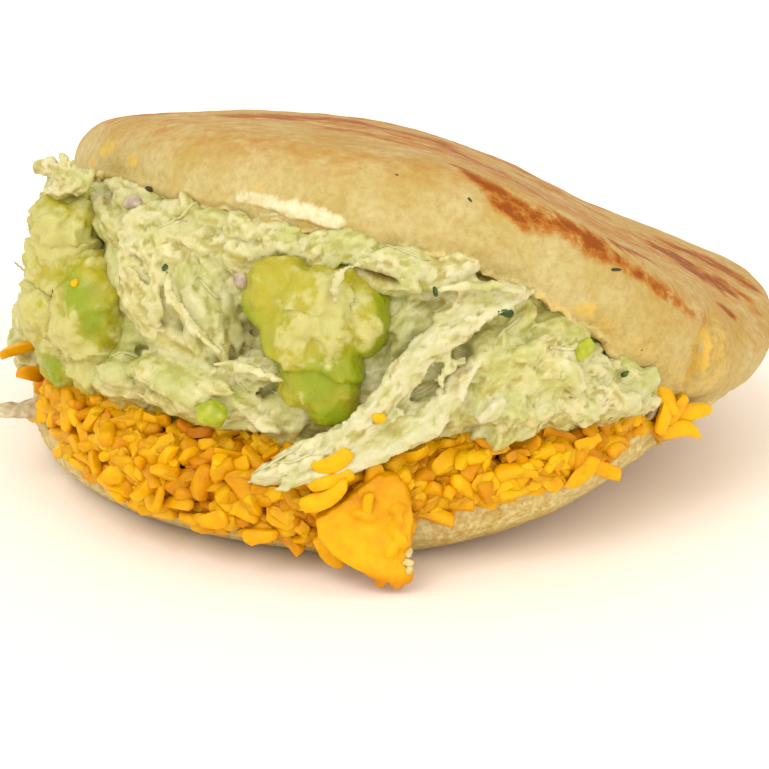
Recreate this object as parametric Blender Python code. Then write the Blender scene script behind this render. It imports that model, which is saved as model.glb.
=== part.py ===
"""Stuffed corn cake: a griddled arepa, split like a pocket, filled with grated cheese and a salad of
chicken and avocado.

The cake is one piece of bread. Its lower half lies on the table and curls up to the right. Its upper
half is propped open over the filling, and the two stay joined along an uncut hinge at the right and
the back right. +X runs to the right along the open mouth, -Y points out of the mouth's front and +Z
is up. The origin is on the table, under the middle of the cake.
"""

from math import atan2, cos, hypot, pi, radians, sin

import bmesh
import bpy
from mathutils import Vector, noise

MM = 0.001

# The corn cake's outline, and its lower half.
CAKE_RADIUS = 54.5 * MM
CAKE_WAVES = ((2, 0.012, radians(35)), (3, 0.008, radians(-70)), (5, 0.004, radians(15)))
BASE_THICKNESS = 8.0 * MM
BASE_EDGE_IN = 9.0 * MM  # rounding of the lower rim, inwards and up
BASE_EDGE_UP = 6.0 * MM
BASE_CURL_DIRECTION = (cos(radians(-12)), sin(radians(-12)))
BASE_CURL_START = 3.0 * MM  # beyond this, in that direction, the base curls off the table
BASE_CURL_HEIGHT = 11.0 * MM
BASE_CURL_POWER = 1.8

# Its upper half, the lid.
LID_THICKNESS = 12.2 * MM
LID_LEFT_THINNING = 3.2 * MM  # it is that much thinner at its open left end
LID_EDGE_IN = 7.0 * MM  # rounding of the upper rim, inwards and down
LID_EDGE_DOWN = 7.5 * MM
# Height of its cut face above the table every 30 degrees round the rim, from +X through +Y.
LID_RIM_HEIGHTS = [h * MM for h in (12, 8, 7, 14, 24, 32, 40, 47.5, 48, 45, 30, 14)]
LID_CROWN = 8.0 * MM  # how far its middle stands over a sheet stretched on that rim
LID_DRAW_BACK = 0.24  # it draws back towards the hinge by this share of its opening
HINGE_DIRECTION = Vector((cos(radians(23)), sin(radians(23)), 0.0))
CUT_EDGE_WAVE = 0.9 * MM  # unevenness of its torn lower edge

# The bed of grated cheese.
SEAT_GAP = 0.45 * MM  # between pieces that touch
CHEESE_DEPTH = 14.0 * MM  # what its depth comes near to in a tall pocket
CHEESE_HALF_DEPTH_OPENING = 16.0 * MM
CHEESE_LEFT_THINNING = 0.6
CHEESE_LEFT_SPAN = (47.0 * MM, 54.0 * MM)
CHEESE_MIN_OPENING = 2.6 * MM  # it ends where the pocket gets tighter than this
CHEESE_INSET = 1.2 * MM
CHEESE_BULGE = 1.8 * MM
CHEESE_DRAPE = 3.0 * MM  # how far it hangs down over the rim at the front left
CHEESE_DRAPE_BULGE = 2.0 * MM
DRAPE_START = radians(-155)
DRAPE_FULL = (radians(-129), radians(-95))
DRAPE_END = radians(-84)

# The chicken and avocado salad.
SALAD_MIN_OPENING = 5.0 * MM
SALAD_INSET = 3.0 * MM
SALAD_BULGE = 4.6 * MM
SALAD_LEFT_BULGE = 2.4 * MM  # more at the open left end, where it hangs over the base
SALAD_PROFILE = ((0.06, 0.75), (0.28, 0.98), (0.52, 1.0), (0.74, 0.85), (0.92, 0.45))  # height, bulge
SALAD_FULL_HEIGHT = 22.0 * MM
HEAP_WAVE = 1.6 * MM  # unevenness of both heaps

# A long strip of chicken that hangs from the salad over the front of the cheese.
STRIP_ROOT = Vector((12.0, -51.5, 25.5)) * MM
STRIP_TIP = Vector((-20.0, -59.2, 15.4)) * MM
STRIP_DEPTH = 4.4 * MM
STRIP_HEIGHT = 6.8 * MM
STRIP_SIDES = 12
STRIP_RINGS = 8

# Lumps of avocado, one in the middle of the mouth and one at its left end.
LUMP_SQUARENESS = 0.4
LUMP_WAVE = 0.9 * MM
LUMP_CUTS = 5
FRONT_LUMP_SIZE = (21.0 * MM, 13.0 * MM, 24.5 * MM)
FRONT_LUMP_CENTRE = Vector((-10.3, -49.5, 33.0)) * MM
FRONT_LUMP_TURN = (radians(-14), radians(9), radians(-6))
FRONT_LUMP_TAPER = 0.42  # its foot is narrower than its top by this share
LEFT_LUMP_SIZE = (13.0 * MM, 18.0 * MM, 24.0 * MM)
LEFT_LUMP_CENTRE = Vector((-47.3, -21.0, 27.0)) * MM
LEFT_LUMP_TURN = (radians(4), radians(6), radians(24))
LEFT_LUMP_TAPER = 0.12

# A broad slice of cheese that leans on the front rim.
SLAB_TOP = (16.4 * MM, -1.8 * MM, 1.9 * MM)  # height, left edge, right edge
SLAB_SHOULDER = (13.0 * MM, -5.8 * MM, 3.2 * MM)
SLAB_WIDEST = (10.6 * MM, -10.2 * MM, 3.7 * MM)
SLAB_NARROWING = (6.0 * MM, -7.6 * MM, 3.1 * MM)
SLAB_FOOT = (2.0 * MM, -1.2 * MM, 2.7 * MM)
SLAB_BACK_Y = -56.0 * MM  # at the top
SLAB_LEAN = 0.24  # forward for each unit down
SLAB_THICKNESS = 3.0 * MM
SLAB_COLUMNS = 4
SLAB_ROUNDING = 0.5 * MM

# Mesh.
OPEN_STEPS = 48  # round the open part of the rim
HINGE_STEPS = 20
RING_SHARES = (0.22, 0.45, 0.68, 0.86)
REST_SPOT_SHARE = 0.05  # a ring that keeps the underside flat round the origin
EDGE_STEPS = 3
WELD = 0.001 * MM


def clear_scene():
    for obj in list(bpy.data.objects):
        bpy.data.objects.remove(obj)


def soft_step(low, high, value):
    """0 up to low, 1 from high on, with a soft rise between."""
    t = min(1.0, max(0.0, (value - low) / (high - low)))
    return t * t * (3.0 - 2.0 * t)


def material(name, colour, roughness):
    made = bpy.data.materials.new(name)
    made.use_nodes = True
    surface = made.node_tree.nodes["Principled BSDF"]
    surface.inputs["Base Color"].default_value = (*colour, 1.0)
    surface.inputs["Roughness"].default_value = roughness
    surface.inputs["Metallic"].default_value = 0.0
    return made


def add_object(name, bm, finish):
    """Welds and closes a mesh, turns its faces outwards and puts it in the scene."""
    bmesh.ops.remove_doubles(bm, verts=bm.verts, dist=WELD)
    bmesh.ops.dissolve_degenerate(bm, edges=bm.edges, dist=WELD)
    bmesh.ops.recalc_face_normals(bm, faces=bm.faces)
    mesh = bpy.data.meshes.new(name)
    bm.to_mesh(mesh)
    bm.free()
    mesh.shade_smooth()
    mesh.set_sharp_from_angle(angle=radians(45))
    mesh.materials.append(finish)
    obj = bpy.data.objects.new(name, mesh)
    bpy.context.scene.collection.objects.link(obj)
    return obj


def add_rings(bm, pole, rings, end=None):
    """A skin from a pole out through closed rings of points, and on to an end point if there is one."""
    loops = [[bm.verts.new(point) for point in ring] for ring in rings]
    count = len(loops[0])
    following = [(j + 1) % count for j in range(count)]
    start = bm.verts.new(pole)
    for j, k in enumerate(following):
        bm.faces.new((start, loops[0][j], loops[0][k]))
    for inner, outer in zip(loops, loops[1:]):
        for j, k in enumerate(following):
            bm.faces.new((inner[j], outer[j], outer[k], inner[k]))
    if end is not None:
        last = bm.verts.new(end)
        for j, k in enumerate(following):
            bm.faces.new((loops[-1][j], last, loops[-1][k]))


# ---------------------------------------------------------------- the pocket between the two halves


def polar(radius, angle):
    return radius * cos(angle), radius * sin(angle)


def cake_radius(angle):
    return CAKE_RADIUS * (1.0 + sum(share * cos(order * angle + lag) for order, share, lag in CAKE_WAVES))


def base_lift(x, y):
    """How far the curled base stands off the table."""
    along = x * BASE_CURL_DIRECTION[0] + y * BASE_CURL_DIRECTION[1]
    run = max(0.0, along - BASE_CURL_START) / (CAKE_RADIUS - BASE_CURL_START)
    return BASE_CURL_HEIGHT * run**BASE_CURL_POWER


def base_face(x, y):
    """Height of the lower half's cut face."""
    return BASE_THICKNESS + base_lift(x, y)


def rim_harmonics(heights):
    """Cosine and sine amounts of a closed ring of evenly spaced heights."""
    count = len(heights)
    found = []
    for order in range(count // 2 + 1):
        turns = [2 * pi * order * i / count for i in range(count)]
        share = (1.0 if order in (0, count // 2) else 2.0) / count
        along = share * sum(h * cos(turn) for h, turn in zip(heights, turns))
        across = share * sum(h * sin(turn) for h, turn in zip(heights, turns))
        found.append((order, along, across))
    return found


LID_HARMONICS = rim_harmonics(LID_RIM_HEIGHTS)


def lid_face(x, y):
    """Height of the upper half's cut face: a sheet stretched over its rim's heights, and crowned."""
    reach = hypot(x, y) / CAKE_RADIUS
    angle = atan2(y, x)
    sheet = sum(
        reach**order * (along * cos(order * angle) + across * sin(order * angle))
        for order, along, across in LID_HARMONICS
    )
    return sheet + LID_CROWN * (1.0 - reach**2)


def opening(x, y):
    return lid_face(x, y) - base_face(x, y)


def base_point(x, y, lift=0.0):
    return Vector((x, y, base_face(x, y) + lift))


def lid_point(x, y, lift=0.0):
    """The point that lies lift above the upper half's cut face, square to that face."""
    step = 0.5 * MM
    slope_x = (lid_face(x + step, y) - lid_face(x - step, y)) / (2 * step)
    slope_y = (lid_face(x, y + step) - lid_face(x, y - step)) / (2 * step)
    normal = Vector((-slope_x, -slope_y, 1.0)).normalized()
    drawn = LID_DRAW_BACK * max(0.0, opening(x, y)) * HINGE_DIRECTION
    return Vector((x, y, lid_face(x, y))) + drawn + normal * lift


def bisect(inside, outside, is_inside):
    """Where a property that holds at inside and not at outside changes."""
    for _ in range(50):
        middle = (inside + outside) / 2
        if is_inside(middle):
            inside = middle
        else:
            outside = middle
    return (inside + outside) / 2


def reach_where_open(angle, height, limit):
    """How far out from the middle the pocket is open by at least this height."""
    if opening(*polar(limit, angle)) >= height:
        return limit
    return bisect(0.0, limit, lambda r: opening(*polar(r, angle)) >= height)


def rim_is_open(angle):
    return opening(*polar(cake_radius(angle), angle)) > 0.0


# The two angles round the rim where the cut ends, and the angles that every ring of points shares.
HINGE_FRONT = bisect(radians(-60), radians(0), rim_is_open)
HINGE_BACK = bisect(radians(110), radians(45), rim_is_open)
OPEN_SPAN = HINGE_FRONT + 2 * pi - HINGE_BACK
HINGE_SPAN = 2 * pi - OPEN_SPAN
OPEN_ANGLES = [HINGE_BACK + OPEN_SPAN * i / OPEN_STEPS for i in range(OPEN_STEPS + 1)]
HINGE_ANGLES = [HINGE_FRONT + HINGE_SPAN * i / HINGE_STEPS for i in range(1, HINGE_STEPS)]
ANGLES = OPEN_ANGLES + HINGE_ANGLES
IS_OPEN = [0 < i < OPEN_STEPS for i in range(len(ANGLES))]


def reach_of_cheese(angle):
    return reach_where_open(angle, CHEESE_MIN_OPENING, cake_radius(angle) - CHEESE_INSET)


def reach_of_salad(angle):
    return reach_where_open(angle, SALAD_MIN_OPENING, cake_radius(angle) - SALAD_INSET)


def salad_rings():
    """Rings of X and Y out to the salad's edge. All layers share them, so their facets lie parallel."""
    edge = [reach_of_salad(angle) for angle in ANGLES]
    return [[polar(r * share, a) for r, a in zip(edge, ANGLES)] for share in (*RING_SHARES, 1.0)]


def cheese_rings():
    return salad_rings() + [[polar(reach_of_cheese(a), a) for a in ANGLES]]


# ---------------------------------------------------------------- the corn cake


def lid_thickness(x):
    return LID_THICKNESS - LID_LEFT_THINNING * soft_step(0.0, CAKE_RADIUS, -x)


def lid_foot(angle, is_open):
    """The lower end of the lid's side. Along the hinge it meets the base's rim."""
    x, y = polar(cake_radius(angle), angle)
    if is_open:
        wave = noise.noise(Vector((cos(angle), sin(angle), 0.3)) * 9.0)
        return lid_point(x, y, CUT_EDGE_WAVE * wave)
    rise = (lid_point(x, y, MM) - lid_point(x, y)).z / MM
    return lid_point(x, y, max(0.0, -opening(x, y)) / rise)


def crust_ring(share):
    """A ring of the upper crust, inside its rounded rim."""
    ring = []
    for a in ANGLES:
        x, y = polar((cake_radius(a) - LID_EDGE_IN) * share, a)
        ring.append(lid_point(x, y, lid_thickness(x)))
    return ring


def lid_edge_ring(turn):
    """A ring of the rounded upper rim, from 0 at the crust to a right angle at the side."""
    ring = []
    for a in ANGLES:
        x, y = polar(cake_radius(a) - LID_EDGE_IN * (1.0 - sin(turn)), a)
        ring.append(lid_point(x, y, lid_thickness(x) - LID_EDGE_DOWN * (1.0 - cos(turn))))
    return ring


def underside_ring(share):
    """A ring of the underside, inside its rounded rim."""
    ring = []
    for a in ANGLES:
        x, y = polar((cake_radius(a) - BASE_EDGE_IN) * share, a)
        ring.append(Vector((x, y, base_lift(x, y))))
    return ring


def base_edge_ring(turn, rim):
    """A ring of the rounded lower rim, from 0 at the side to a right angle at the underside.

    Along the hinge the side flares out to meet the lid's.
    """
    ring = []
    for a, top in zip(ANGLES, rim):
        x, y = polar(cake_radius(a) - BASE_EDGE_IN * (1.0 - cos(turn)), a)
        flare = 1.0 + (hypot(top.x, top.y) / cake_radius(a) - 1.0) * cos(turn)
        ring.append(Vector((x * flare, y * flare, base_lift(x, y) + BASE_EDGE_UP * (1.0 - sin(turn)))))
    return ring


def pocket_wall(face_point, rim):
    """One wall of the pocket, from the middle out to its rim or to the end of the cut."""
    edge = []
    for a, is_open, outer in zip(ANGLES, IS_OPEN, rim):
        end = reach_where_open(a, 0.0, cake_radius(a))
        closed = not is_open and end < cake_radius(a) - WELD
        edge.append(face_point(*polar(end, a)) if closed else outer)
    return [[face_point(x, y) for x, y in ring] for ring in cheese_rings()] + [edge]


def build_corn_cake():
    bm = bmesh.new()
    turns = [pi / 2 * i / EDGE_STEPS for i in range(EDGE_STEPS + 1)]
    foot = [lid_foot(a, is_open) for a, is_open in zip(ANGLES, IS_OPEN)]
    rim = [
        base_point(*polar(cake_radius(a), a)) if is_open else meeting
        for a, is_open, meeting in zip(ANGLES, IS_OPEN, foot)
    ]
    crust = [crust_ring(share) for share in RING_SHARES] + [lid_edge_ring(turn) for turn in turns]
    underside = [underside_ring(share) for share in (REST_SPOT_SHARE, *RING_SHARES)]
    underside += [base_edge_ring(turn, rim) for turn in reversed(turns)]
    add_rings(bm, lid_point(0.0, 0.0, LID_THICKNESS), crust + [foot])
    add_rings(bm, lid_point(0.0, 0.0), pocket_wall(lid_point, foot))
    add_rings(bm, base_point(0.0, 0.0), pocket_wall(base_point, rim))
    add_rings(bm, Vector((0.0, 0.0, base_lift(0.0, 0.0))), underside + [rim])
    return add_object("corn_cake", bm, material("griddled_corn_dough", (0.72, 0.50, 0.17), 0.6))


# ---------------------------------------------------------------- the two heaps


def heap_wave(point, seed):
    return HEAP_WAVE * noise.noise(point * 90.0 + Vector((seed, 0.0, 0.0)))


def cheese_point(x, y, lift=0.0):
    """A point above the cheese's upper surface."""
    tall = max(0.0, opening(x, y))
    depth = CHEESE_DEPTH * tall / (tall + CHEESE_HALF_DEPTH_OPENING)
    depth *= 1.0 - CHEESE_LEFT_THINNING * soft_step(*CHEESE_LEFT_SPAN, -x)
    return base_point(x, y, depth + lift)


def cheese_drape(angle):
    """From 0 to 1 over the part of the rim that the cheese hangs over."""
    turn = angle - 2 * pi if angle > pi else angle
    return soft_step(DRAPE_START, DRAPE_FULL[0], turn) * (1.0 - soft_step(DRAPE_FULL[1], DRAPE_END, turn))


def cheese_side(angle, foot, top):
    """The side of the heap at one angle: out over the rim, down it where it hangs, and back up."""
    reach = reach_of_cheese(angle)
    rim = cake_radius(angle)
    deep = top.z - foot.z
    drape = cheese_drape(angle)
    proud = soft_step(CHEESE_MIN_OPENING, 2.5 * CHEESE_MIN_OPENING, deep)
    proud *= 1.0 - 0.9 * soft_step(*CHEESE_LEFT_SPAN, -rim * cos(angle))
    lip = reach + (rim + 1.5 * SEAT_GAP - reach) * max(proud, drape)
    wave = heap_wave(Vector((*polar(rim, angle), top.z)), 4.0)
    belly = reach + proud * (CHEESE_INSET + CHEESE_BULGE + wave) + drape * CHEESE_DRAPE_BULGE
    hang = CHEESE_DRAPE * drape
    flat = 0.2 * MM * (1.0 - drape)
    outline = (
        (lip, foot.z),
        (lip + 0.1 * MM * drape, foot.z + flat - hang),
        ((lip + belly) / 2, foot.z + 2 * flat - 1.1 * hang),
        (belly, foot.z + 0.35 * deep - 0.5 * hang),
        (belly - 0.4 * MM, foot.z + 0.75 * deep),
    )
    return [Vector((*polar(radius, angle), height)) for radius, height in outline]


def build_cheese():
    """The bed of grated cheese on the base, hanging over the rim at the front left."""
    bm = bmesh.new()
    low = [[base_point(x, y, SEAT_GAP) for x, y in ring] for ring in cheese_rings()]
    high = [[cheese_point(x, y) for x, y in ring] for ring in cheese_rings()]
    columns = [cheese_side(a, foot, top) for a, foot, top in zip(ANGLES, low[-1], high[-1])]
    side = [list(ring) for ring in zip(*columns)]
    add_rings(bm, base_point(0.0, 0.0, SEAT_GAP), low + side + [high[-1]])
    add_rings(bm, cheese_point(0.0, 0.0), high)
    return add_object("grated_cheese", bm, material("cheddar", (0.86, 0.40, 0.02), 0.45))


def salad_side(level, fullness, low, high):
    """A ring of the salad's bulging side, at a share of the height between its two edges."""
    ring = []
    for a, foot, top in zip(ANGLES, low, high):
        point = foot.lerp(top, level)
        bulge = SALAD_BULGE + SALAD_LEFT_BULGE * max(0.0, -cos(a)) ** 3
        tall = min(1.0, (top.z - foot.z) / SALAD_FULL_HEIGHT)
        out = tall * (fullness * bulge + heap_wave(point, 9.0))
        ring.append(point + Vector((*polar(out, a), 0.0)))
    return ring


def build_salad():
    """The chicken and avocado salad between the cheese and the lid, bulging out of the mouth."""
    bm = bmesh.new()
    low = [[cheese_point(x, y, SEAT_GAP) for x, y in ring] for ring in salad_rings()]
    high = [[lid_point(x, y, -SEAT_GAP) for x, y in ring] for ring in salad_rings()]
    side = [salad_side(level, fullness, low[-1], high[-1]) for level, fullness in SALAD_PROFILE]
    add_rings(bm, cheese_point(0.0, 0.0, SEAT_GAP), low + side + [high[-1]])
    add_rings(bm, lid_point(0.0, 0.0, -SEAT_GAP), high)
    return add_object("chicken_salad", bm, material("creamy_salad", (0.68, 0.60, 0.24), 0.4))


# ---------------------------------------------------------------- pieces in the filling


def build_strip(name, swell=0.0):
    """The strip of chicken: a flattened spindle from its root to its tip."""
    along = STRIP_TIP - STRIP_ROOT
    front = Vector((0.0, -1.0, 0.0))
    up = along.cross(front).normalized()
    turns = [2 * pi * j / STRIP_SIDES for j in range(STRIP_SIDES)]
    rings = []
    for i in range(1, STRIP_RINGS):
        t = i / STRIP_RINGS
        width = sin(pi * t) ** 0.5
        deep = STRIP_DEPTH / 2 * width + swell
        tall = STRIP_HEIGHT / 2 * width + swell
        centre = STRIP_ROOT + along * t
        rings.append([centre + front * (deep * cos(turn)) + up * (tall * sin(turn)) for turn in turns])
    reach = along.normalized() * swell
    bm = bmesh.new()
    add_rings(bm, STRIP_ROOT - reach, rings, end=STRIP_TIP + reach)
    return add_object(name, bm, material(f"{name}_meat", (0.70, 0.63, 0.30), 0.4))


def build_lump(name, size, centre, turn, taper, seed, swell=0.0):
    """A rounded, uneven block of avocado, narrower at its foot."""
    bm = bmesh.new()
    bmesh.ops.create_cube(bm, size=2.0)
    bmesh.ops.subdivide_edges(bm, edges=bm.edges, cuts=LUMP_CUTS, use_grid_fill=True)
    for v in bm.verts:
        ball = v.co.normalized()
        shape = ball.lerp(v.co, LUMP_SQUARENESS)
        narrow = 1.0 - taper * (1.0 - shape.z) / 2
        point = Vector((shape.x * size[0] * narrow, shape.y * size[1] * narrow, shape.z * size[2])) / 2
        wave = LUMP_WAVE * noise.noise(point * 150.0 + Vector((0.0, seed, 0.0)))
        v.co = point + ball * (wave + swell)
    lump = add_object(name, bm, material(f"{name}_flesh", (0.56, 0.56, 0.08), 0.35))
    lump.location = centre
    lump.rotation_euler = turn
    return lump


def build_slab(name, swell=0.0):
    """The slice of cheese: a kite-shaped plate that leans outwards at its foot."""
    rows = (SLAB_FOOT, SLAB_NARROWING, SLAB_WIDEST, SLAB_SHOULDER, SLAB_TOP)
    bm = bmesh.new()
    loops = []
    for height, left, right in rows:
        back = SLAB_BACK_Y - SLAB_LEAN * (SLAB_TOP[0] - height) + swell
        front = back - SLAB_THICKNESS - 2 * swell
        z = height + swell * ((height == SLAB_TOP[0]) - (height == SLAB_FOOT[0]))
        wide = right - left + 2 * swell
        steps = [left - swell + wide * j / (SLAB_COLUMNS - 1) for j in range(SLAB_COLUMNS)]
        ring = [(x, front, z) for x in steps] + [(x, back, z) for x in reversed(steps)]
        loops.append([bm.verts.new(point) for point in ring])
    count = 2 * SLAB_COLUMNS
    for low, high in zip(loops, loops[1:]):
        for j in range(count):
            k = (j + 1) % count
            bm.faces.new((low[j], low[k], high[k], high[j]))
    for end in (loops[0], loops[-1]):
        for j in range(SLAB_COLUMNS - 1):
            bm.faces.new((end[j], end[j + 1], end[count - 2 - j], end[count - 1 - j]))
    return add_object(name, bm, material(f"{name}_cheddar", (0.88, 0.46, 0.03), 0.35))


def round_edges(obj, width):
    """Bevels the edges that the smooth faces meet at an angle."""
    rounding = obj.modifiers.new("rounded_edges", "BEVEL")
    rounding.width = width
    rounding.segments = 2
    rounding.limit_method = "ANGLE"
    rounding.angle_limit = radians(40)


def combine(target, tool, operation):
    """Joins a hidden tool to a piece, or cuts it out of the piece."""
    tool.hide_render = True
    tool.display_type = "WIRE"
    change = target.modifiers.new(f"{operation.lower()}_{tool.name}", "BOOLEAN")
    change.object = tool
    change.operation = operation
    change.solver = "EXACT"


def main():
    clear_scene()
    build_corn_cake()
    cheese = build_cheese()
    salad = build_salad()
    combine(salad, build_strip("chicken_strip"), "UNION")
    combine(cheese, build_strip("strip_room", SEAT_GAP), "DIFFERENCE")
    front_lump = (FRONT_LUMP_SIZE, FRONT_LUMP_CENTRE, FRONT_LUMP_TURN, FRONT_LUMP_TAPER, 2.0)
    left_lump = (LEFT_LUMP_SIZE, LEFT_LUMP_CENTRE, LEFT_LUMP_TURN, LEFT_LUMP_TAPER, 6.0)
    for name, lump in (("avocado_front", front_lump), ("avocado_left", left_lump)):
        build_lump(name, *lump)
        room = build_lump(f"{name}_room", *lump, swell=SEAT_GAP)
        combine(salad, room, "DIFFERENCE")
        combine(cheese, room, "DIFFERENCE")
    round_edges(build_slab("cheese_slab"), SLAB_ROUNDING)
    combine(cheese, build_slab("slab_room", SEAT_GAP), "DIFFERENCE")


main()
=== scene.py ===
"""The looks of a stuffed arepa: a griddled corn cake split like a pocket, over grated cheese and a creamy salad
of shredded chicken and avocado.

Everything is in the part's own frame, in metres: +X to the right along the open mouth, -Y out of its front and
+Z up. Shapes are worked out in millimetres and scaled when a mesh is made.
"""

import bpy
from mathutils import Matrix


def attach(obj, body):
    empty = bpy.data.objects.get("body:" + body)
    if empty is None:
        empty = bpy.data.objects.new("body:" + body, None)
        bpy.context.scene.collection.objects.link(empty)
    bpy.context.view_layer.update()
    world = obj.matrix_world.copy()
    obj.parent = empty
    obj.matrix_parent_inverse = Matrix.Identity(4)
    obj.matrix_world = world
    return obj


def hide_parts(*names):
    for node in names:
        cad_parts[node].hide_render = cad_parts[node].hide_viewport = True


bl_info = {
    "name": "Stuffed arepa",
    "version": (1, 0, 0),
    "blender": (4, 5, 0),
    "location": "3D View > Sidebar > Arepa",
    "description": "Builds a stuffed corn cake piece by piece around its CAD frame",
    "category": "Add Mesh",
}

from math import pi, radians

import bmesh
import bpy
import numpy as np
from bpy.props import FloatProperty, FloatVectorProperty, IntProperty, PointerProperty
from bpy.types import Operator, Panel, PropertyGroup
from mathutils import Vector, kdtree, noise
from mathutils.bvhtree import BVHTree

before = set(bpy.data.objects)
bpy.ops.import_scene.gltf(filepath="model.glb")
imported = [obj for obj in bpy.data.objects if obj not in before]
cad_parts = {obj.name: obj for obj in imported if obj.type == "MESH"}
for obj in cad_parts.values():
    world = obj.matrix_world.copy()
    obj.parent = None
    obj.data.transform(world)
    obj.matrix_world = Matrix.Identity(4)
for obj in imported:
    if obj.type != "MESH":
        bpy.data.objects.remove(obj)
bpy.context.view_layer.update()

MM = 0.001
UP = np.array((0.0, 0.0, 1.0))

# ---------------------------------------------------------------- the pocket, with the CAD part's own sizes in mm

CAKE_RADIUS = 54.5
CAKE_WAVES = ((2, 0.012, radians(35)), (3, 0.008, radians(-70)), (5, 0.004, radians(15)))
BASE_THICKNESS = 8.0
BASE_EDGE_IN = 9.0
BASE_EDGE_UP = 6.0
BASE_CURL_DIRECTION = (np.cos(radians(-12)), np.sin(radians(-12)))
BASE_CURL_START = 3.0
BASE_CURL_HEIGHT = 11.0
BASE_CURL_POWER = 1.8
LID_THICKNESS = 12.2
LID_LEFT_THINNING = 3.2
LID_EDGE_IN = 7.0
LID_EDGE_DOWN = 7.5
LID_RIM_HEIGHTS = (12, 8, 7, 14, 24, 32, 40, 47.5, 48, 45, 30, 14)
LID_CROWN = 8.0
LID_DRAW_BACK = 0.24
HINGE_DIRECTION = (np.cos(radians(23)), np.sin(radians(23)))
SEAT_GAP = 0.45
CHEESE_DEPTH = 14.0
CHEESE_HALF_DEPTH_OPENING = 16.0
CHEESE_LEFT_THINNING = 0.6
CHEESE_LEFT_SPAN = (47.0, 54.0)
CHEESE_MIN_OPENING = 2.6
CHEESE_INSET = 1.2
SALAD_MIN_OPENING = 5.0
SALAD_INSET = 3.0
DRAPE_START = radians(-155)
DRAPE_FULL = (radians(-129), radians(-95))
DRAPE_END = radians(-84)


def soft_step(low, high, value):
    """0 up to low, 1 from high on, with a soft rise between."""
    t = np.clip((value - low) / (high - low), 0.0, 1.0)
    return t * t * (3.0 - 2.0 * t)


def polar(radius, angle):
    return radius * np.cos(angle), radius * np.sin(angle)


def unit(v):
    return v / np.maximum(np.linalg.norm(v, axis=-1, keepdims=True), 1e-9)


def cake_radius(angle):
    return CAKE_RADIUS * (1.0 + sum(share * np.cos(order * angle + lag) for order, share, lag in CAKE_WAVES))


def base_lift(x, y):
    along = x * BASE_CURL_DIRECTION[0] + y * BASE_CURL_DIRECTION[1]
    run = np.maximum(0.0, along - BASE_CURL_START) / (CAKE_RADIUS - BASE_CURL_START)
    return BASE_CURL_HEIGHT * run**BASE_CURL_POWER


def base_face(x, y):
    return BASE_THICKNESS + base_lift(x, y)


def rim_harmonics(heights):
    """Cosine and sine amounts of a closed ring of evenly spaced heights."""
    count = len(heights)
    turns = 2 * pi * np.arange(count) / count
    found = []
    for order in range(count // 2 + 1):
        share = (1.0 if order in (0, count // 2) else 2.0) / count
        along = share * float(np.dot(heights, np.cos(order * turns)))
        across = share * float(np.dot(heights, np.sin(order * turns)))
        found.append((order, along, across))
    return found


LID_HARMONICS = rim_harmonics(LID_RIM_HEIGHTS)


def lid_face(x, y):
    reach = np.hypot(x, y) / CAKE_RADIUS
    angle = np.arctan2(y, x)
    sheet = sum(
        reach**order * (along * np.cos(order * angle) + across * np.sin(order * angle))
        for order, along, across in LID_HARMONICS
    )
    return sheet + LID_CROWN * (1.0 - reach**2)


def opening(x, y):
    return lid_face(x, y) - base_face(x, y)


def points(x, y, z):
    return np.stack(np.broadcast_arrays(x, y, z), -1).astype(float)


def base_point(x, y, lift=0.0):
    return points(x, y, base_face(x, y) + lift)


def lid_point(x, y, lift=0.0):
    """The point that lies lift above the upper half's cut face, square to that face."""
    step = 0.5
    slope_x = (lid_face(x + step, y) - lid_face(x - step, y)) / (2 * step)
    slope_y = (lid_face(x, y + step) - lid_face(x, y - step)) / (2 * step)
    share = lift / np.sqrt(1.0 + slope_x**2 + slope_y**2)
    drawn = LID_DRAW_BACK * np.maximum(0.0, opening(x, y))
    drawn_x, drawn_y = drawn * HINGE_DIRECTION[0], drawn * HINGE_DIRECTION[1]
    return points(x + drawn_x - slope_x * share, y + drawn_y - slope_y * share, lid_face(x, y) + share)


def reach_where_open(angle, height, limit):
    """How far out from the middle the pocket is open by at least this height."""
    inside, outside = np.zeros_like(limit), limit
    for _ in range(50):
        middle = (inside + outside) / 2
        is_open = opening(*polar(middle, angle)) >= height
        inside, outside = np.where(is_open, middle, inside), np.where(is_open, outside, middle)
    return np.where(opening(*polar(limit, angle)) >= height, limit, (inside + outside) / 2)


def end_of_cut(inside, outside):
    for _ in range(50):
        middle = (inside + outside) / 2
        if opening(*polar(cake_radius(middle), middle)) > 0.0:
            inside = middle
        else:
            outside = middle
    return (inside + outside) / 2


HINGE_FRONT = end_of_cut(radians(-60), radians(0))
HINGE_BACK = end_of_cut(radians(110), radians(45))
OPEN_SPAN = HINGE_FRONT + 2 * pi - HINGE_BACK
HINGE_SPAN = 2 * pi - OPEN_SPAN


def reach_of_cheese(angle):
    return reach_where_open(angle, CHEESE_MIN_OPENING, cake_radius(angle) - CHEESE_INSET)


def reach_of_salad(angle):
    return reach_where_open(angle, SALAD_MIN_OPENING, cake_radius(angle) - SALAD_INSET)


def cheese_point(x, y, lift=0.0):
    """A point above the cheese's upper surface."""
    tall = np.maximum(0.0, opening(x, y))
    depth = CHEESE_DEPTH * tall / (tall + CHEESE_HALF_DEPTH_OPENING)
    depth = depth * (1.0 - CHEESE_LEFT_THINNING * soft_step(*CHEESE_LEFT_SPAN, -x))
    return base_point(x, y, depth + lift)


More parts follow.
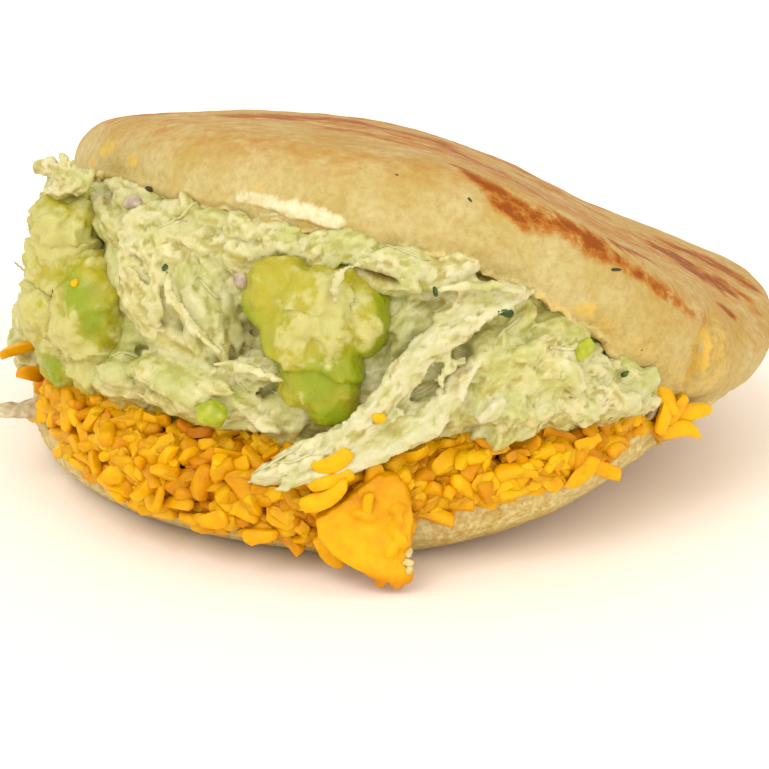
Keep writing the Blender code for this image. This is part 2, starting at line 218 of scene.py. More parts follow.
def mouth(angle, height, out):
    """A point at the salad's edge: height goes from 0 at the cheese to 1 at the lid, and out is in mm."""
    angle = np.asarray(angle, float)
    x, y = polar(reach_of_salad(angle), angle)
    foot, top = cheese_point(x, y, SEAT_GAP), lid_point(x, y, -SEAT_GAP)
    height, out = np.asarray(height)[..., None], np.asarray(out)[..., None]
    return foot + (top - foot) * height + out * points(np.cos(angle), np.sin(angle), 0.0)


def mouth_axes(angle):
    """Along the mouth, up its side and out of it."""
    along = points(-np.sin(angle), np.cos(angle), 0.0)
    up = unit(mouth(angle, 0.9, 0.0) - mouth(angle, 0.1, 0.0))
    out = unit(np.cross(along, up))
    return along, unit(np.cross(out, along)), out


# ---------------------------------------------------------------- meshes


def ripple(where, size, seed=0.0):
    """Smooth noise, about -1 to 1, whose bumps are about this many mm across."""
    flat = (np.asarray(where, float).reshape(-1, 3) / size + seed).tolist()
    return np.array([noise.noise(p) for p in flat]).reshape(np.shape(where)[:-1])


def ripples(where, size, seed=0.0):
    """The same smooth noise, once for each axis."""
    return np.stack([ripple(where, size, seed + 11.0 * axis) for axis in range(3)], -1)


def ridges(where, size, seed=0.0):
    """Noise from 0 to 1 that peaks along narrow crests."""
    return 1.0 - np.minimum(1.0, 2.6 * np.abs(ripple(where, size, seed)))


def from_path(where, path):
    """How far each point is from a line through several points."""
    nearest = np.full(len(where), np.inf)
    path = np.array(path, float)
    for start, end in zip(path[:-1], path[1:]):
        run = end - start
        share = np.clip((where - start) @ run / (run @ run), 0.0, 1.0)[:, None]
        nearest = np.minimum(nearest, np.linalg.norm(where - start - share * run, axis=1))
    return nearest


def along_fibres(where, direction, stretch):
    """Squeezes points along their fibres, so that noise read there is long in that direction."""
    run = np.sum(where * direction, -1, keepdims=True)
    return where - direction * run * (1.0 - 1.0 / stretch)


def ring_faces(rings, count, first=0):
    """Four-sided faces between following closed rings of points."""
    start = first + count * np.arange(rings - 1)[:, None]
    j = np.arange(count)
    k = (j + 1) % count
    return np.stack([start + j, start + count + j, start + count + k, start + k], -1).reshape(-1, 4)


def add_mesh(name, where, faces, attributes=()):
    """A mesh from points in mm, with a number for each point under each attribute's name."""
    mesh = bpy.data.meshes.new(name)
    mesh.from_pydata((np.asarray(where) * MM).tolist(), [], [list(f) for f in faces])
    for key, values in dict(attributes).items():
        mesh.attributes.new(key, "FLOAT", "POINT").data.foreach_set("value", np.asarray(values, np.float32))
    return mesh


def weld(mesh, smoothing=0):
    """Joins points that coincide, turns the faces outwards and softens the mesh."""
    bm = bmesh.new()
    bm.from_mesh(mesh)
    bmesh.ops.remove_doubles(bm, verts=bm.verts, dist=2e-6)
    bmesh.ops.dissolve_degenerate(bm, edges=bm.edges, dist=2e-6)
    bmesh.ops.recalc_face_normals(bm, faces=bm.faces)
    for _ in range(smoothing):
        bmesh.ops.smooth_vert(bm, verts=bm.verts, factor=0.5, use_axis_x=True, use_axis_y=True, use_axis_z=True)
    bm.to_mesh(mesh)
    bm.free()


def soften(mesh, chosen, rounds):
    """Rounds off the chosen points of a mesh."""
    bm = bmesh.new()
    bm.from_mesh(mesh)
    bm.verts.ensure_lookup_table()
    verts = [bm.verts[i] for i in chosen]
    for _ in range(rounds):
        bmesh.ops.smooth_vert(bm, verts=verts, factor=0.5, use_axis_x=True, use_axis_y=True, use_axis_z=True)
    bm.to_mesh(mesh)
    bm.free()


def read(mesh, key):
    """A mesh's points or normals in mm and ones, or the values of one of its attributes."""
    if key in ("points", "normals"):
        values = np.zeros(3 * len(mesh.vertices), np.float32)
        if key == "points":
            mesh.vertices.foreach_get("co", values)
            return values.reshape(-1, 3).astype(float) / MM
        mesh.vertex_normals.foreach_get("vector", values)
        return values.reshape(-1, 3).astype(float)
    values = np.zeros(len(mesh.vertices), np.float32)
    mesh.attributes[key].data.foreach_get("value", values)
    return values.astype(float)


def write_facts(mesh, facts):
    """Stores a number, or one for each point, under each name."""
    for key, values in facts.items():
        values = np.broadcast_to(values, len(mesh.vertices)).astype(np.float32)
        stored = mesh.attributes.get(key) or mesh.attributes.new(key, "FLOAT", "POINT")
        stored.data.foreach_set("value", values)


def write_points(mesh, where):
    mesh.vertices.foreach_set("co", (where * MM).astype(np.float32).ravel())
    mesh.update()


def add_piece(name, mesh, finish, nodes=(), sharp=None):
    """Puts a mesh in the scene as a piece of the part."""
    mesh.shade_smooth()
    if sharp is not None:
        mesh.set_sharp_from_angle(angle=radians(sharp))
    mesh.materials.clear()
    mesh.materials.append(finish)
    obj = bpy.data.objects.new(name, mesh)
    bpy.context.scene.collection.objects.link(obj)
    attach(obj, "root")
    if nodes:
        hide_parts(*nodes)
    return obj


class Clay:
    """Closed skins that are pressed together into one, and what is known at points of them."""

    def __init__(self):
        self.where = []
        self.faces = []
        self.count = 0
        self.known = []

    def add(self, rings, start, end):
        """A skin of rings of points that closes on a point at either end."""
        total, sides = rings.shape[:2]
        self.where += [start[None], rings.reshape(-1, 3), end[None]]
        first = self.count + 1
        last = first + total * sides
        j = np.arange(sides)
        k = (j + 1) % sides
        self.faces += np.stack([np.full(sides, self.count), first + j, first + k], -1)[:, ::-1].tolist()
        self.faces += ring_faces(total, sides, first)[:, ::-1].tolist()
        self.faces += np.stack([last - sides + k, last - sides + j, np.full(sides, last)], -1)[:, ::-1].tolist()
        self.count = last + 1

    def note(self, where, direction, facts):
        """Remembers the fibres' direction and other facts at these points."""
        for p, d in zip(where, np.broadcast_to(direction, where.shape)):
            self.known.append((p, d, facts))

    def ball(self, centre, axes, half, facts, sides=14):
        """An ellipsoid whose poles lie on the first axis."""
        along, across, out = axes
        turns = 2 * pi * np.arange(sides) / sides
        polls = np.linspace(0, pi, sides // 2 + 1)[1:-1, None, None]
        rim = across * (half[1] * np.cos(turns))[:, None] + out * (half[2] * np.sin(turns))[:, None]
        rings = centre - along * half[0] * np.cos(polls) + rim * np.sin(polls)
        self.add(rings, centre - along * half[0], centre + along * half[0])
        self.note(rings.reshape(-1, 3), along, facts)

    def band(self, path, wide, thick, facing, facts, sides=8, noted=True):
        """A flattened cord along a path, tapered by its widths."""
        run = unit(np.gradient(path, axis=0))
        across = unit(np.cross(run, facing))
        out = unit(np.cross(across, run))
        turns = 2 * pi * np.arange(sides) / sides
        rings = path[:, None] + across[:, None] * (wide[:, None] * np.cos(turns))[..., None]
        rings = rings + out[:, None] * (thick[:, None] * np.sin(turns))[..., None]
        self.add(rings[1:-1], path[0], path[-1])
        if noted:
            self.note(path, run, facts)

    def mesh(self, name):
        return add_mesh(name, np.concatenate(self.where), self.faces)

    def pressed(self, name, voxel, smoothing):
        """All skins fused into one closed mesh."""
        obj = bpy.data.objects.new(name, self.mesh(name))
        bpy.context.scene.collection.objects.link(obj)
        fuse = obj.modifiers.new("fuse", "REMESH")
        fuse.mode = "VOXEL"
        fuse.voxel_size = voxel * MM
        soften = obj.modifiers.new("soften", "SMOOTH")
        soften.factor = 0.5
        soften.iterations = smoothing
        evaluated = obj.evaluated_get(bpy.context.evaluated_depsgraph_get())
        made = bpy.data.meshes.new_from_object(evaluated)
        made.name = name
        bpy.data.objects.remove(obj)
        return made

    def read_known(self, where, keys):
        """The fibre direction and the facts that are nearest to each point."""
        tree = kdtree.KDTree(len(self.known))
        for i, (p, _, _) in enumerate(self.known):
            tree.insert(p, i)
        tree.balance()
        directions = np.zeros(where.shape)
        facts = {key: np.zeros(len(where)) for key in keys}
        for n, p in enumerate(where):
            near = tree.find_n(p, 3)
            weights = [1.0 / (0.3 + distance) for _, _, distance in near]
            directions[n] = self.known[near[0][1]][1]
            for key in keys:
                values = [self.known[i][2].get(key, 0.0) for _, i, _ in near]
                facts[key][n] = np.dot(weights, values) / sum(weights)
        return directions, facts


# ---------------------------------------------------------------- materials


def linear(code):
    """An sRGB hex colour as linear numbers."""
    values = [int(code[i : i + 2], 16) / 255 for i in (0, 2, 4)]
    return tuple(v / 12.92 if v <= 0.04045 else ((v + 0.055) / 1.055) ** 2.4 for v in values)


def add(tree, kind, inputs=(), out=0, **settings):
    """Adds a node with its settings, links or sets its sockets and gives one of its outputs."""
    node = tree.nodes.new(kind)
    for key, value in settings.items():
        setattr(node, key, value)
    for key, value in dict(inputs).items():
        if isinstance(value, bpy.types.NodeSocket):
            tree.links.new(value, node.inputs[key])
        elif node.inputs[key].type == "RGBA":
            node.inputs[key].default_value = (*value[:3], 1.0)
        else:
            node.inputs[key].default_value = value
    return node.outputs[out]


def finish(name, sockets):
    """A material, its node tree and its surface shader with the constant sockets set."""
    made = bpy.data.materials.new(name)
    made.use_nodes = True
    surface = made.node_tree.nodes["Principled BSDF"]
    for key, value in sockets.items():
        surface.inputs[key].default_value = value
    return made, made.node_tree, surface


def per(size):
    """A texture's scale that makes its bumps this many mm across."""
    return 1.0 / (size * MM)


COORDS = "ShaderNodeTexCoord"
NOISE = "ShaderNodeTexNoise"
CELLS = "ShaderNodeTexVoronoi"
MIX = "ShaderNodeMix"
RANGE = "ShaderNodeMapRange"
MATH = "ShaderNodeMath"
BUMP = "ShaderNodeBump"
FACT = "ShaderNodeAttribute"
SOFT = "SMOOTHSTEP"


# The griddle's marks run this way and are drawn out by this much.
STREAK_TURN = (0.0, 0.2, radians(-18))
STREAK_STRETCH = (2.0, 1.0, 1.0)


def griddled_dough(cake):
    """Cooked white corn dough, griddled.

    Its side is matte, pale gold and finely grained. Its faces are toasted, with mottled brown patches where
    they lay on the griddle. Where it is torn it is a moist, paler crumb.
    """
    made, tree, surface = finish(
        "griddled_dough",
        {
            "IOR": 1.42,
            "Specular IOR Level": 0.1,
            "Subsurface Weight": 0.12,
            "Subsurface Radius": (1.0, 0.6, 0.25),
            "Subsurface Scale": 2.0 * MM,
        },
    )
    where = add(tree, COORDS, out="Object")
    broad = add(tree, NOISE, {"Vector": where, "Scale": per(9.0), "Detail": 3.0})
    fine = add(tree, NOISE, {"Vector": where, "Scale": per(1.1), "Detail": 3.0, "Roughness": 0.65})
    run = {"Vector": where, "Rotation": STREAK_TURN, "Scale": STREAK_STRETCH}
    drawn_out = add(tree, "ShaderNodeMapping", run, vector_type="TEXTURE")
    mottle = add(tree, NOISE, {"Vector": drawn_out, "Scale": per(1.7), "Detail": 5.0, "Roughness": 0.66})
    toast = add(tree, FACT, out="Fac", attribute_name="toast")
    griddle = add(tree, FACT, out="Fac", attribute_name="griddle")
    crumb = add(tree, FACT, out="Fac", attribute_name="crumb")
    oil = add(tree, FACT, out="Fac", attribute_name="oil")
    butter = add(tree, FACT, out="Fac", attribute_name="butter")

    uneven = add(tree, RANGE, {0: broad, 1: 0.36, 2: 0.64})
    side = add(tree, MIX, {0: uneven, 6: cake.side_colour, 7: cake.side_deep_colour}, out=2, data_type="RGBA")
    pores = add(tree, RANGE, {0: fine, 1: 0.3, 2: 0.6, 3: 0.5, 4: 0.0})
    side = add(tree, MIX, {0: pores, 6: side, 7: cake.pore_colour}, out=2, data_type="RGBA")
    top_share = add(tree, RANGE, {0: mottle, 1: 0.34, 2: 0.66, 3: 0.12, 4: 0.95})
    top_share = add(tree, MATH, {0: top_share, 1: toast}, operation="MULTIPLY")
    colour = add(tree, MIX, {0: top_share, 6: side, 7: cake.top_colour}, out=2, data_type="RGBA")

    # Browned streaks with broken edges, darkest in their middles.
    swing = add(tree, RANGE, {0: mottle, 1: 0.34, 2: 0.66, 3: 0.5, 4: 1.45})
    fringe = add(tree, RANGE, {0: mottle, 1: 0.3, 2: 0.7, 3: 0.38, 4: 0.6})
    patchy = add(tree, MATH, {0: griddle, 1: swing, 2: fringe}, operation="MULTIPLY_ADD")
    patch = add(tree, RANGE, {0: patchy, 1: 0.54, 2: 1.22}, interpolation_type=SOFT)
    colour = add(tree, MIX, {0: patch, 6: colour, 7: cake.brown_colour}, out=2, data_type="RGBA")
    dark = add(tree, RANGE, {0: patchy, 1: 1.08, 2: 1.55, 4: 0.9}, interpolation_type=SOFT)
    colour = add(tree, MIX, {0: dark, 6: colour, 7: cake.dark_colour}, out=2, data_type="RGBA")

    ragged = add(tree, MATH, {0: crumb, 1: fine}, operation="ADD")
    ragged = add(tree, RANGE, {0: ragged, 1: 0.62, 2: 1.05}, interpolation_type=SOFT)
    crumb_share = add(tree, RANGE, {0: fine, 1: 0.26, 2: 0.62, 3: 0.2})
    crumbs = {0: crumb_share, 6: cake.crumb_deep_colour, 7: cake.crumb_colour}
    crumb_colour = add(tree, MIX, crumbs, out=2, data_type="RGBA")
    colour = add(tree, MIX, {0: ragged, 6: colour, 7: crumb_colour}, out=2, data_type="RGBA")
    # Cream smears, their whiteness partly a painted highlight on a wet patch.
    smear_and_highlight_share = add(tree, MATH, {0: oil, 1: fine}, operation="ADD")
    smear_and_highlight_share = add(tree, RANGE, {0: smear_and_highlight_share, 1: 0.78, 2: 1.6, 4: 0.9}, interpolation_type=SOFT)
    colour = add(tree, MIX, {0: smear_and_highlight_share, 6: colour, 7: cake.oil_colour}, out=2, data_type="RGBA")
    # Cheese stains, plus warm painted shade in the crease and along the lid's lower right lip.
    stain_and_shade_share = add(tree, MATH, {0: butter, 1: fine}, operation="ADD")
    stain_and_shade_share = add(tree, RANGE, {0: stain_and_shade_share, 1: 0.68, 2: 1.3, 4: 0.9}, interpolation_type=SOFT)
    colour = add(tree, MIX, {0: stain_and_shade_share, 6: colour, 7: cake.butter_colour}, out=2, data_type="RGBA")

    # Scorched specks, a few tenths of a millimetre long.
    cell = add(tree, CELLS, {"Vector": drawn_out, "Scale": per(2.3)}, out="Distance")
    chance = add(tree, CELLS, {"Vector": drawn_out, "Scale": per(2.3)}, out="Color")
    chance = add(tree, "ShaderNodeSeparateColor", {0: chance})
    ring = add(tree, MATH, {0: fine, 1: 0.11}, operation="MULTIPLY")
    cell = add(tree, MATH, {0: cell, 1: ring}, operation="ADD")
    speck = add(tree, RANGE, {0: cell, 1: 0.11, 2: 0.15, 3: 1.0, 4: 0.0})
    chosen = add(tree, RANGE, {0: chance, 1: 0.72, 2: 0.92, 4: 0.85})
    speck = add(tree, MATH, {0: speck, 1: chosen}, operation="MULTIPLY")
    colour = add(tree, MIX, {0: speck, 6: colour, 7: cake.speck_colour}, out=2, data_type="RGBA")
    tree.links.new(colour, surface.inputs["Base Color"])

    matte = add(tree, RANGE, {0: fine, 1: 0.3, 2: 0.7, 3: 0.62, 4: 0.5})
    gloss = add(tree, MIX, {0: oil, 2: matte, 3: 0.2}, data_type="FLOAT")
    tree.links.new(gloss, surface.inputs["Roughness"])
    bump = add(tree, BUMP, {"Height": fine, "Distance": 0.35 * MM, "Strength": 0.55})
    bump = add(tree, BUMP, {"Height": mottle, "Distance": 0.5 * MM, "Strength": 0.5, "Normal": bump})
    tree.links.new(bump, surface.inputs["Normal"])
    return made


def cheddar(cheese):
    """Grated cheddar, made by tearing soft cheese on a coarse grater: waxy, deep yellow, lit from within."""
    made, tree, surface = finish(
        "grated_cheddar",
        {
            "IOR": 1.45,
            "Roughness": 0.4,
            "Specular IOR Level": 0.2,
            "Subsurface Weight": 0.22,
            "Subsurface Radius": (1.0, 0.45, 0.08),
            "Subsurface Scale": 1.6 * MM,
        },
    )
    where = add(tree, COORDS, out="Object")
    shade = add(tree, FACT, out="Fac", attribute_name="shade")
    cloud = add(tree, NOISE, {"Vector": where, "Scale": per(2.2), "Detail": 3.0})
    rub = add(tree, NOISE, {"Vector": where, "Scale": per(0.6), "Detail": 2.0})
    # The shade fact: random tone from the noise, plus painted shade on low shreds, the core and the slice's back.
    share = add(tree, MATH, {0: cloud, 1: shade}, operation="ADD")
    share = add(tree, RANGE, {0: share, 1: 0.5, 2: 1.5})
    colour = add(tree, MIX, {0: share, 6: cheese.light_colour, 7: cheese.deep_colour}, out=2, data_type="RGBA")
    tree.links.new(colour, surface.inputs["Base Color"])
    bump = add(tree, BUMP, {"Height": cloud, "Distance": 0.5 * MM, "Strength": 0.35})
    bump = add(tree, BUMP, {"Height": rub, "Distance": 0.15 * MM, "Strength": 0.4, "Normal": bump})
    tree.links.new(bump, surface.inputs["Normal"])
    return made


def creamy_salad(salad):
    """Shredded chicken coated in mashed avocado and mayonnaise: moist, pale green and cream, with soft gloss."""
    made, tree, surface = finish(
        "creamy_salad",
        {
            "IOR": 1.42,
            "Specular IOR Level": 0.5,
            "Subsurface Weight": 0.25,
            "Subsurface Radius": (1.0, 0.85, 0.4),
            "Subsurface Scale": 1.8 * MM,
        },
    )
    where = add(tree, COORDS, out="Object")
    pale = add(tree, FACT, out="Fac", attribute_name="pale")
    green = add(tree, FACT, out="Fac", attribute_name="green")
    relief = add(tree, FACT, out="Fac", attribute_name="relief")
    broad = add(tree, NOISE, {"Vector": where, "Scale": per(6.0), "Detail": 3.0})
    smear = add(tree, NOISE, {"Vector": where, "Scale": per(1.7), "Detail": 4.0, "Roughness": 0.6})
    fine = add(tree, NOISE, {"Vector": where, "Scale": per(0.55), "Detail": 2.0})
    cream = add(tree, RANGE, {0: smear, 1: 0.35, 2: 0.66})
    colour = add(tree, MIX, {0: cream, 6: salad.cream_colour, 7: salad.avocado_cream_colour}, out=2, data_type="RGBA")
    # Painted shade: the hollows between the fibre crests take the hollow colour.
    hollow = add(tree, RANGE, {0: relief, 1: 0.5, 2: 0.05, 3: 0.0, 4: 0.8})
    colour = add(tree, MIX, {0: hollow, 6: colour, 7: salad.hollow_colour}, out=2, data_type="RGBA")
    uneven = add(tree, RANGE, {0: broad, 1: 0.4, 2: 0.68, 4: 0.7})
    uneven = add(tree, MATH, {0: uneven, 1: green}, operation="ADD", use_clamp=True)
    colour = add(tree, MIX, {0: uneven, 6: colour, 7: salad.green_colour}, out=2, data_type="RGBA")
    # Pale fibre colour on the crests: the chicken's own colour, and also a painted highlight on the crests.
    fibre = add(tree, MATH, {0: pale, 1: relief}, operation="MULTIPLY", use_clamp=True)
    colour = add(tree, MIX, {0: fibre, 6: colour, 7: salad.fibre_colour}, out=2, data_type="RGBA")
    # Painted shade: the deep fact turns set-back surfaces and clefts to the gap colour.
    deep = add(tree, FACT, out="Fac", attribute_name="deep")
    deep = add(tree, RANGE, {0: deep, 4: 0.75})
    colour = add(tree, MIX, {0: deep, 6: colour, 7: salad.gap_colour}, out=2, data_type="RGBA")
    tree.links.new(colour, surface.inputs["Base Color"])
    wet = add(tree, RANGE, {0: smear, 1: 0.35, 2: 0.7, 3: 0.22, 4: 0.4})
    tree.links.new(wet, surface.inputs["Roughness"])
    bump = add(tree, BUMP, {"Height": smear, "Distance": 0.5 * MM, "Strength": 0.4})
    bump = add(tree, BUMP, {"Height": fine, "Distance": 0.2 * MM, "Strength": 0.6, "Normal": bump})
    tree.links.new(bump, surface.inputs["Normal"])
    return made


def ripe_avocado(avocado):
    """Ripe avocado cut in pieces: smooth, buttery flesh, green by the skin and yellow inside, smeared with cream."""
    made, tree, surface = finish(
        "ripe_avocado",
        {
            "IOR": 1.43,
            "Specular IOR Level": 0.5,
            "Subsurface Weight": 0.2,
            "Subsurface Radius": (0.9, 1.0, 0.2),
            "Subsurface Scale": 1.5 * MM,
        },
    )
    where = add(tree, COORDS, out="Object")
    rind = add(tree, FACT, out="Fac", attribute_name="rind")
    cream = add(tree, FACT, out="Fac", attribute_name="cream")
    cloud = add(tree, NOISE, {"Vector": where, "Scale": per(4.0), "Detail": 3.0})
    smear = add(tree, NOISE, {"Vector": where, "Scale": per(1.5), "Detail": 4.0, "Roughness": 0.6})
    share = add(tree, MATH, {0: cloud, 1: rind}, operation="ADD")
    share = add(tree, RANGE, {0: share, 1: 0.5, 2: 1.25})
    colour = add(tree, MIX, {0: share, 6: avocado.flesh_colour, 7: avocado.rind_colour}, out=2, data_type="RGBA")
    coat = add(tree, MATH, {0: cream, 1: smear}, operation="ADD")
    coat = add(tree, RANGE, {0: coat, 1: 0.72, 2: 1.02, 4: 0.94}, interpolation_type=SOFT)
    colour = add(tree, MIX, {0: coat, 6: colour, 7: avocado.cream_colour}, out=2, data_type="RGBA")
    tree.links.new(colour, surface.inputs["Base Color"])
    wet = add(tree, RANGE, {0: smear, 1: 0.35, 2: 0.7, 3: 0.22, 4: 0.42})
    tree.links.new(wet, surface.inputs["Roughness"])
    bump = add(tree, BUMP, {"Height": smear, "Distance": 0.45 * MM, "Strength": 0.4})
    tree.links.new(bump, surface.inputs["Normal"])
    return made


def moist_bit(name, light, deep, roughness):
    """A small cut bit of a vegetable: moist, with a cloudy colour."""
    sockets = {"IOR": 1.4, "Roughness": roughness, "Subsurface Weight": 0.15, "Subsurface Scale": 1.0 * MM}
    made, tree, surface = finish(name, sockets)
    where = add(tree, COORDS, out="Object")
    cloud = add(tree, NOISE, {"Vector": where, "Scale": per(1.2), "Detail": 3.0})
    share = add(tree, RANGE, {0: cloud, 1: 0.36, 2: 0.64})
    colour = add(tree, MIX, {0: share, 6: light, 7: deep}, out=2, data_type="RGBA")
    tree.links.new(colour, surface.inputs["Base Color"])
    bump = add(tree, BUMP, {"Height": cloud, "Distance": 0.3 * MM, "Strength": 0.4})
    tree.links.new(bump, surface.inputs["Normal"])
    return made


def white_card(stage):
    """Uncoated white card, pressed smooth: fully matte, with a warm cast in its shadows."""
    made, tree, surface = finish("white_card", {"Roughness": 0.9, "Specular IOR Level": 0.1})
    where = add(tree, COORDS, out="Object")
    fibres = add(tree, NOISE, {"Vector": where, "Scale": per(3.0), "Detail": 2.0})
    share = add(tree, RANGE, {0: fibres, 1: 0.3, 2: 0.7, 4: 0.15})
    colour = add(tree, MIX, {0: share, 6: stage.floor_colour, 7: stage.floor_deep_colour}, out=2, data_type="RGBA")
    tree.links.new(colour, surface.inputs["Base Color"])
    return made


# ---------------------------------------------------------------- the corn cake

# Browned streaks on the upper crust: points along each and half width in mm, and how brown it is.
LID_STREAKS = (
    (((-6, -14, 54), (4, -20, 53.5), (20, -32, 50)), 11.0, 0.48),
    (((22, -26, 46), (44, -12, 32)), 10.0, 0.4),
    (((-20, -15, 55.4), (-12.7, -12, 54), (-3.9, -11, 52.6), (6.5, -15, 52)), 5.6, 0.85),
    (((-8, -24, 56.6), (-4, -25.5, 56.1), (2, -28, 55.4)), 2.6, 0.6),
    (((7.8, -19.5, 52.3), (12.1, -23.3, 51.7), (16.3, -27.5, 50.9), (21, -33.5, 49.2)), 3.6, 0.8),
    (((10.5, -42.7, 55.4), (15.6, -46.2, 52.7), (21.1, -46.4, 49.5), (26.8, -44.8, 46.5), (29.7, -43.6, 45)), 2.5, 0.92),
    (((25.6, -45, 47.2), (27.6, -44.3, 46), (29.6, -43.4, 45)), 1.1, 1.35),
    (((28.4, -44.8, 44.6), (33.3, -42.9, 41.3), (37.8, -40.4, 37.5), (42.4, -37.1, 33.1), (44.4, -35.4, 31)), 1.5, 0.9),
    (((31.6, -40.0, 44.1), (34.4, -36.4, 41.6), (37.4, -32.3, 38.6)), 1.5, 1.0),
    (((22, -12, 45.6), (28, -6, 41.6), (34, -4, 38)), 2.6, 0.6),
    (((41.5, -12, 34.2), (43.3, -13, 32.9), (45.1, -16.6, 31.9), (47.6, -16.4, 30), (50.3, -13.5, 28)), 3.6, 1.1),
    (((44, -4, 32), (50, -3, 28.5), (54, -5, 25.5)), 3.6, 0.95),
    (((48.4, -26.2, 29.4), (50.2, -25.4, 28)), 1.5, 1.35),
    (((53.4, -13.2, 26.5), (55.4, -16, 24.6)), 1.6, 0.7),
    (((-26, 14, 47.9), (-12, 20, 45.6), (0, 22, 43.3)), 7.7, 0.75),
    (((10, 26, 39.2), (20, 20, 37.8), (30, 12, 36)), 6.3, 0.8),
    (((-38, -4, 52.4), (-34, 4, 50.4)), 4.9, 0.6),
    (((-6, 4, 49.7), (14, 4, 44.8), (26, -4, 41.7)), 5.6, 0.55),
    (((-20, 34, 41.1), (-4, 38, 37.9)), 4.2, 0.8),
    (((24, 34, 30.5), (34, 24, 30.1)), 4.9, 0.7),
)
BASE_STREAKS = (
    (((-30, -18, 0), (-8, -12, 0)), 6.0, 0.85),
    (((4, -28, 0.4), (24, -24, 2)), 5.0, 0.8),
    (((20, 4, 1.5), (28, 20, 3)), 5.0, 0.85),
    (((-22, 24, 0), (0, 20, 0)), 5.0, 0.8),
)
# Raised cream smears on the lid; their pale colour is partly a painted highlight on the wet patch.
CREAM_SMEARS_AND_HIGHLIGHTS = (
    (((-19.8, -41.6, 51.2), (-15, -44.3, 51), (-12.5, -45.6, 50.4)), 1.3, 0.8),
    (((-12.5, -45.6, 51), (-9, -47, 50.2), (-6.7, -47.8, 49.8)), 1.5, 0.95),
)
# Yellow stains of cheese pressed on the crust. The last row, along the lid's lower right lip, is warm painted shade.
YELLOW_STAINS = (
    (((-41.1, -15.7, 50.4), (-39.4, -18, 51)), 1.6, 0.75),
    (((-36.8, -23.6, 51.5), (-36, -25, 51.6)), 1.2, 0.75),
    (((-43.4, -12, 47.8), (-42.4, -14.6, 48.4)), 1.0, 0.8),
    (((-17.8, -42.1, 52.8), (-16.8, -42.6, 52.6)), 1.0, 0.5),
    (((26.4, -48.1, 37.3), (28.4, -47.6, 36.4)), 1.4, 0.6),
    (((6, -50.6, 44), (16, -50.2, 41), (24, -48.6, 37)), 2.4, 0.4),
    (((47.6, -34, 28.6), (47.4, -35.2, 25.4), (47, -35.2, 22)), 2.8, 0.42),
    (((45.8, -36.2, 29.2), (45.6, -37.1, 27), (45.4, -37.1, 24.6)), 0.9, 1.0),
    (((30, -46.5, 33), (38, -41, 27), (43, -36, 22)), 3.6, 0.36),
)
CREASE = (
    (47, -32, 30.1), (45.3, -36.7, 29.4), (44.7, -38.6, 28), (44.7, -38.2, 25.6), (44.2, -37.9, 23.4),
    (43.2, -37.2, 21.7),
)
CREASE_HALF_WIDTH = 1.0
CREASE_DEPTH = 2.2
# The shallow dip across the lid where it bends down to the right.
SADDLE = ((28, -22, 43.5), (30, -6, 39.8), (32, 10, 36), (28, 26, 33))
SADDLE_HALF_WIDTH = 12.0
SADDLE_DEPTH = 1.3


def cake_angles(open_steps, hinge_steps):
    """Angles round the rim that hit both ends of the cut, and which of them are open."""
    opened = HINGE_BACK + OPEN_SPAN * np.arange(open_steps + 1) / open_steps
    hinged = HINGE_FRONT + HINGE_SPAN * np.arange(1, hinge_steps) / hinge_steps
    index = np.arange(open_steps + hinge_steps)
    return np.concatenate((opened, hinged)), (index > 0) & (index < open_steps)


def streaked(where, streaks, ragged=1.0):
    """How strongly streaks show at each point, fading to uneven outlines."""
    uneven = where + ragged * (1.3 * ripples(where, 7.0, 5.0) + 0.6 * ripples(where, 2.2, 8.0))
    most = np.zeros(len(where))
    for path, half_width, strength in streaks:
        most = np.maximum(most, strength * (1.0 - soft_step(0.3, 1.35, from_path(uneven, path) / half_width)))
    return most


class Crust:
    """The cake's skins, ring by ring, with how toasted and how torn each ring is."""

    def __init__(self, count):
        self.count = count
        self.rings = []
        self.facts = {"toast": [], "crumb": []}
        self.faces = []
        self.started = 0

    def ring(self, where, **facts):
        self.rings.append(np.broadcast_to(where, (self.count, 3)))
        for key, values in self.facts.items():
            values.append(np.broadcast_to(facts.get(key, 0.0), self.count))

    def close(self):
        """Ends a skin and makes its faces."""
        added = len(self.rings) - self.started
        self.faces.append(ring_faces(added, self.count, self.started * self.count))
        self.started = len(self.rings)

    def mesh(self, name):
        facts = {key: np.concatenate(values) for key, values in self.facts.items()}
        return add_mesh(name, np.concatenate(self.rings), np.concatenate(self.faces), facts)


def shoulder(angles, radius):
    """The lid's outer edge, where its shoulder ends."""
    x, y = polar(radius, angles)
    thick = LID_THICKNESS - LID_LEFT_THINNING * soft_step(0.0, CAKE_RADIUS, -x)
    return lid_point(x, y, thick - LID_EDGE_DOWN)


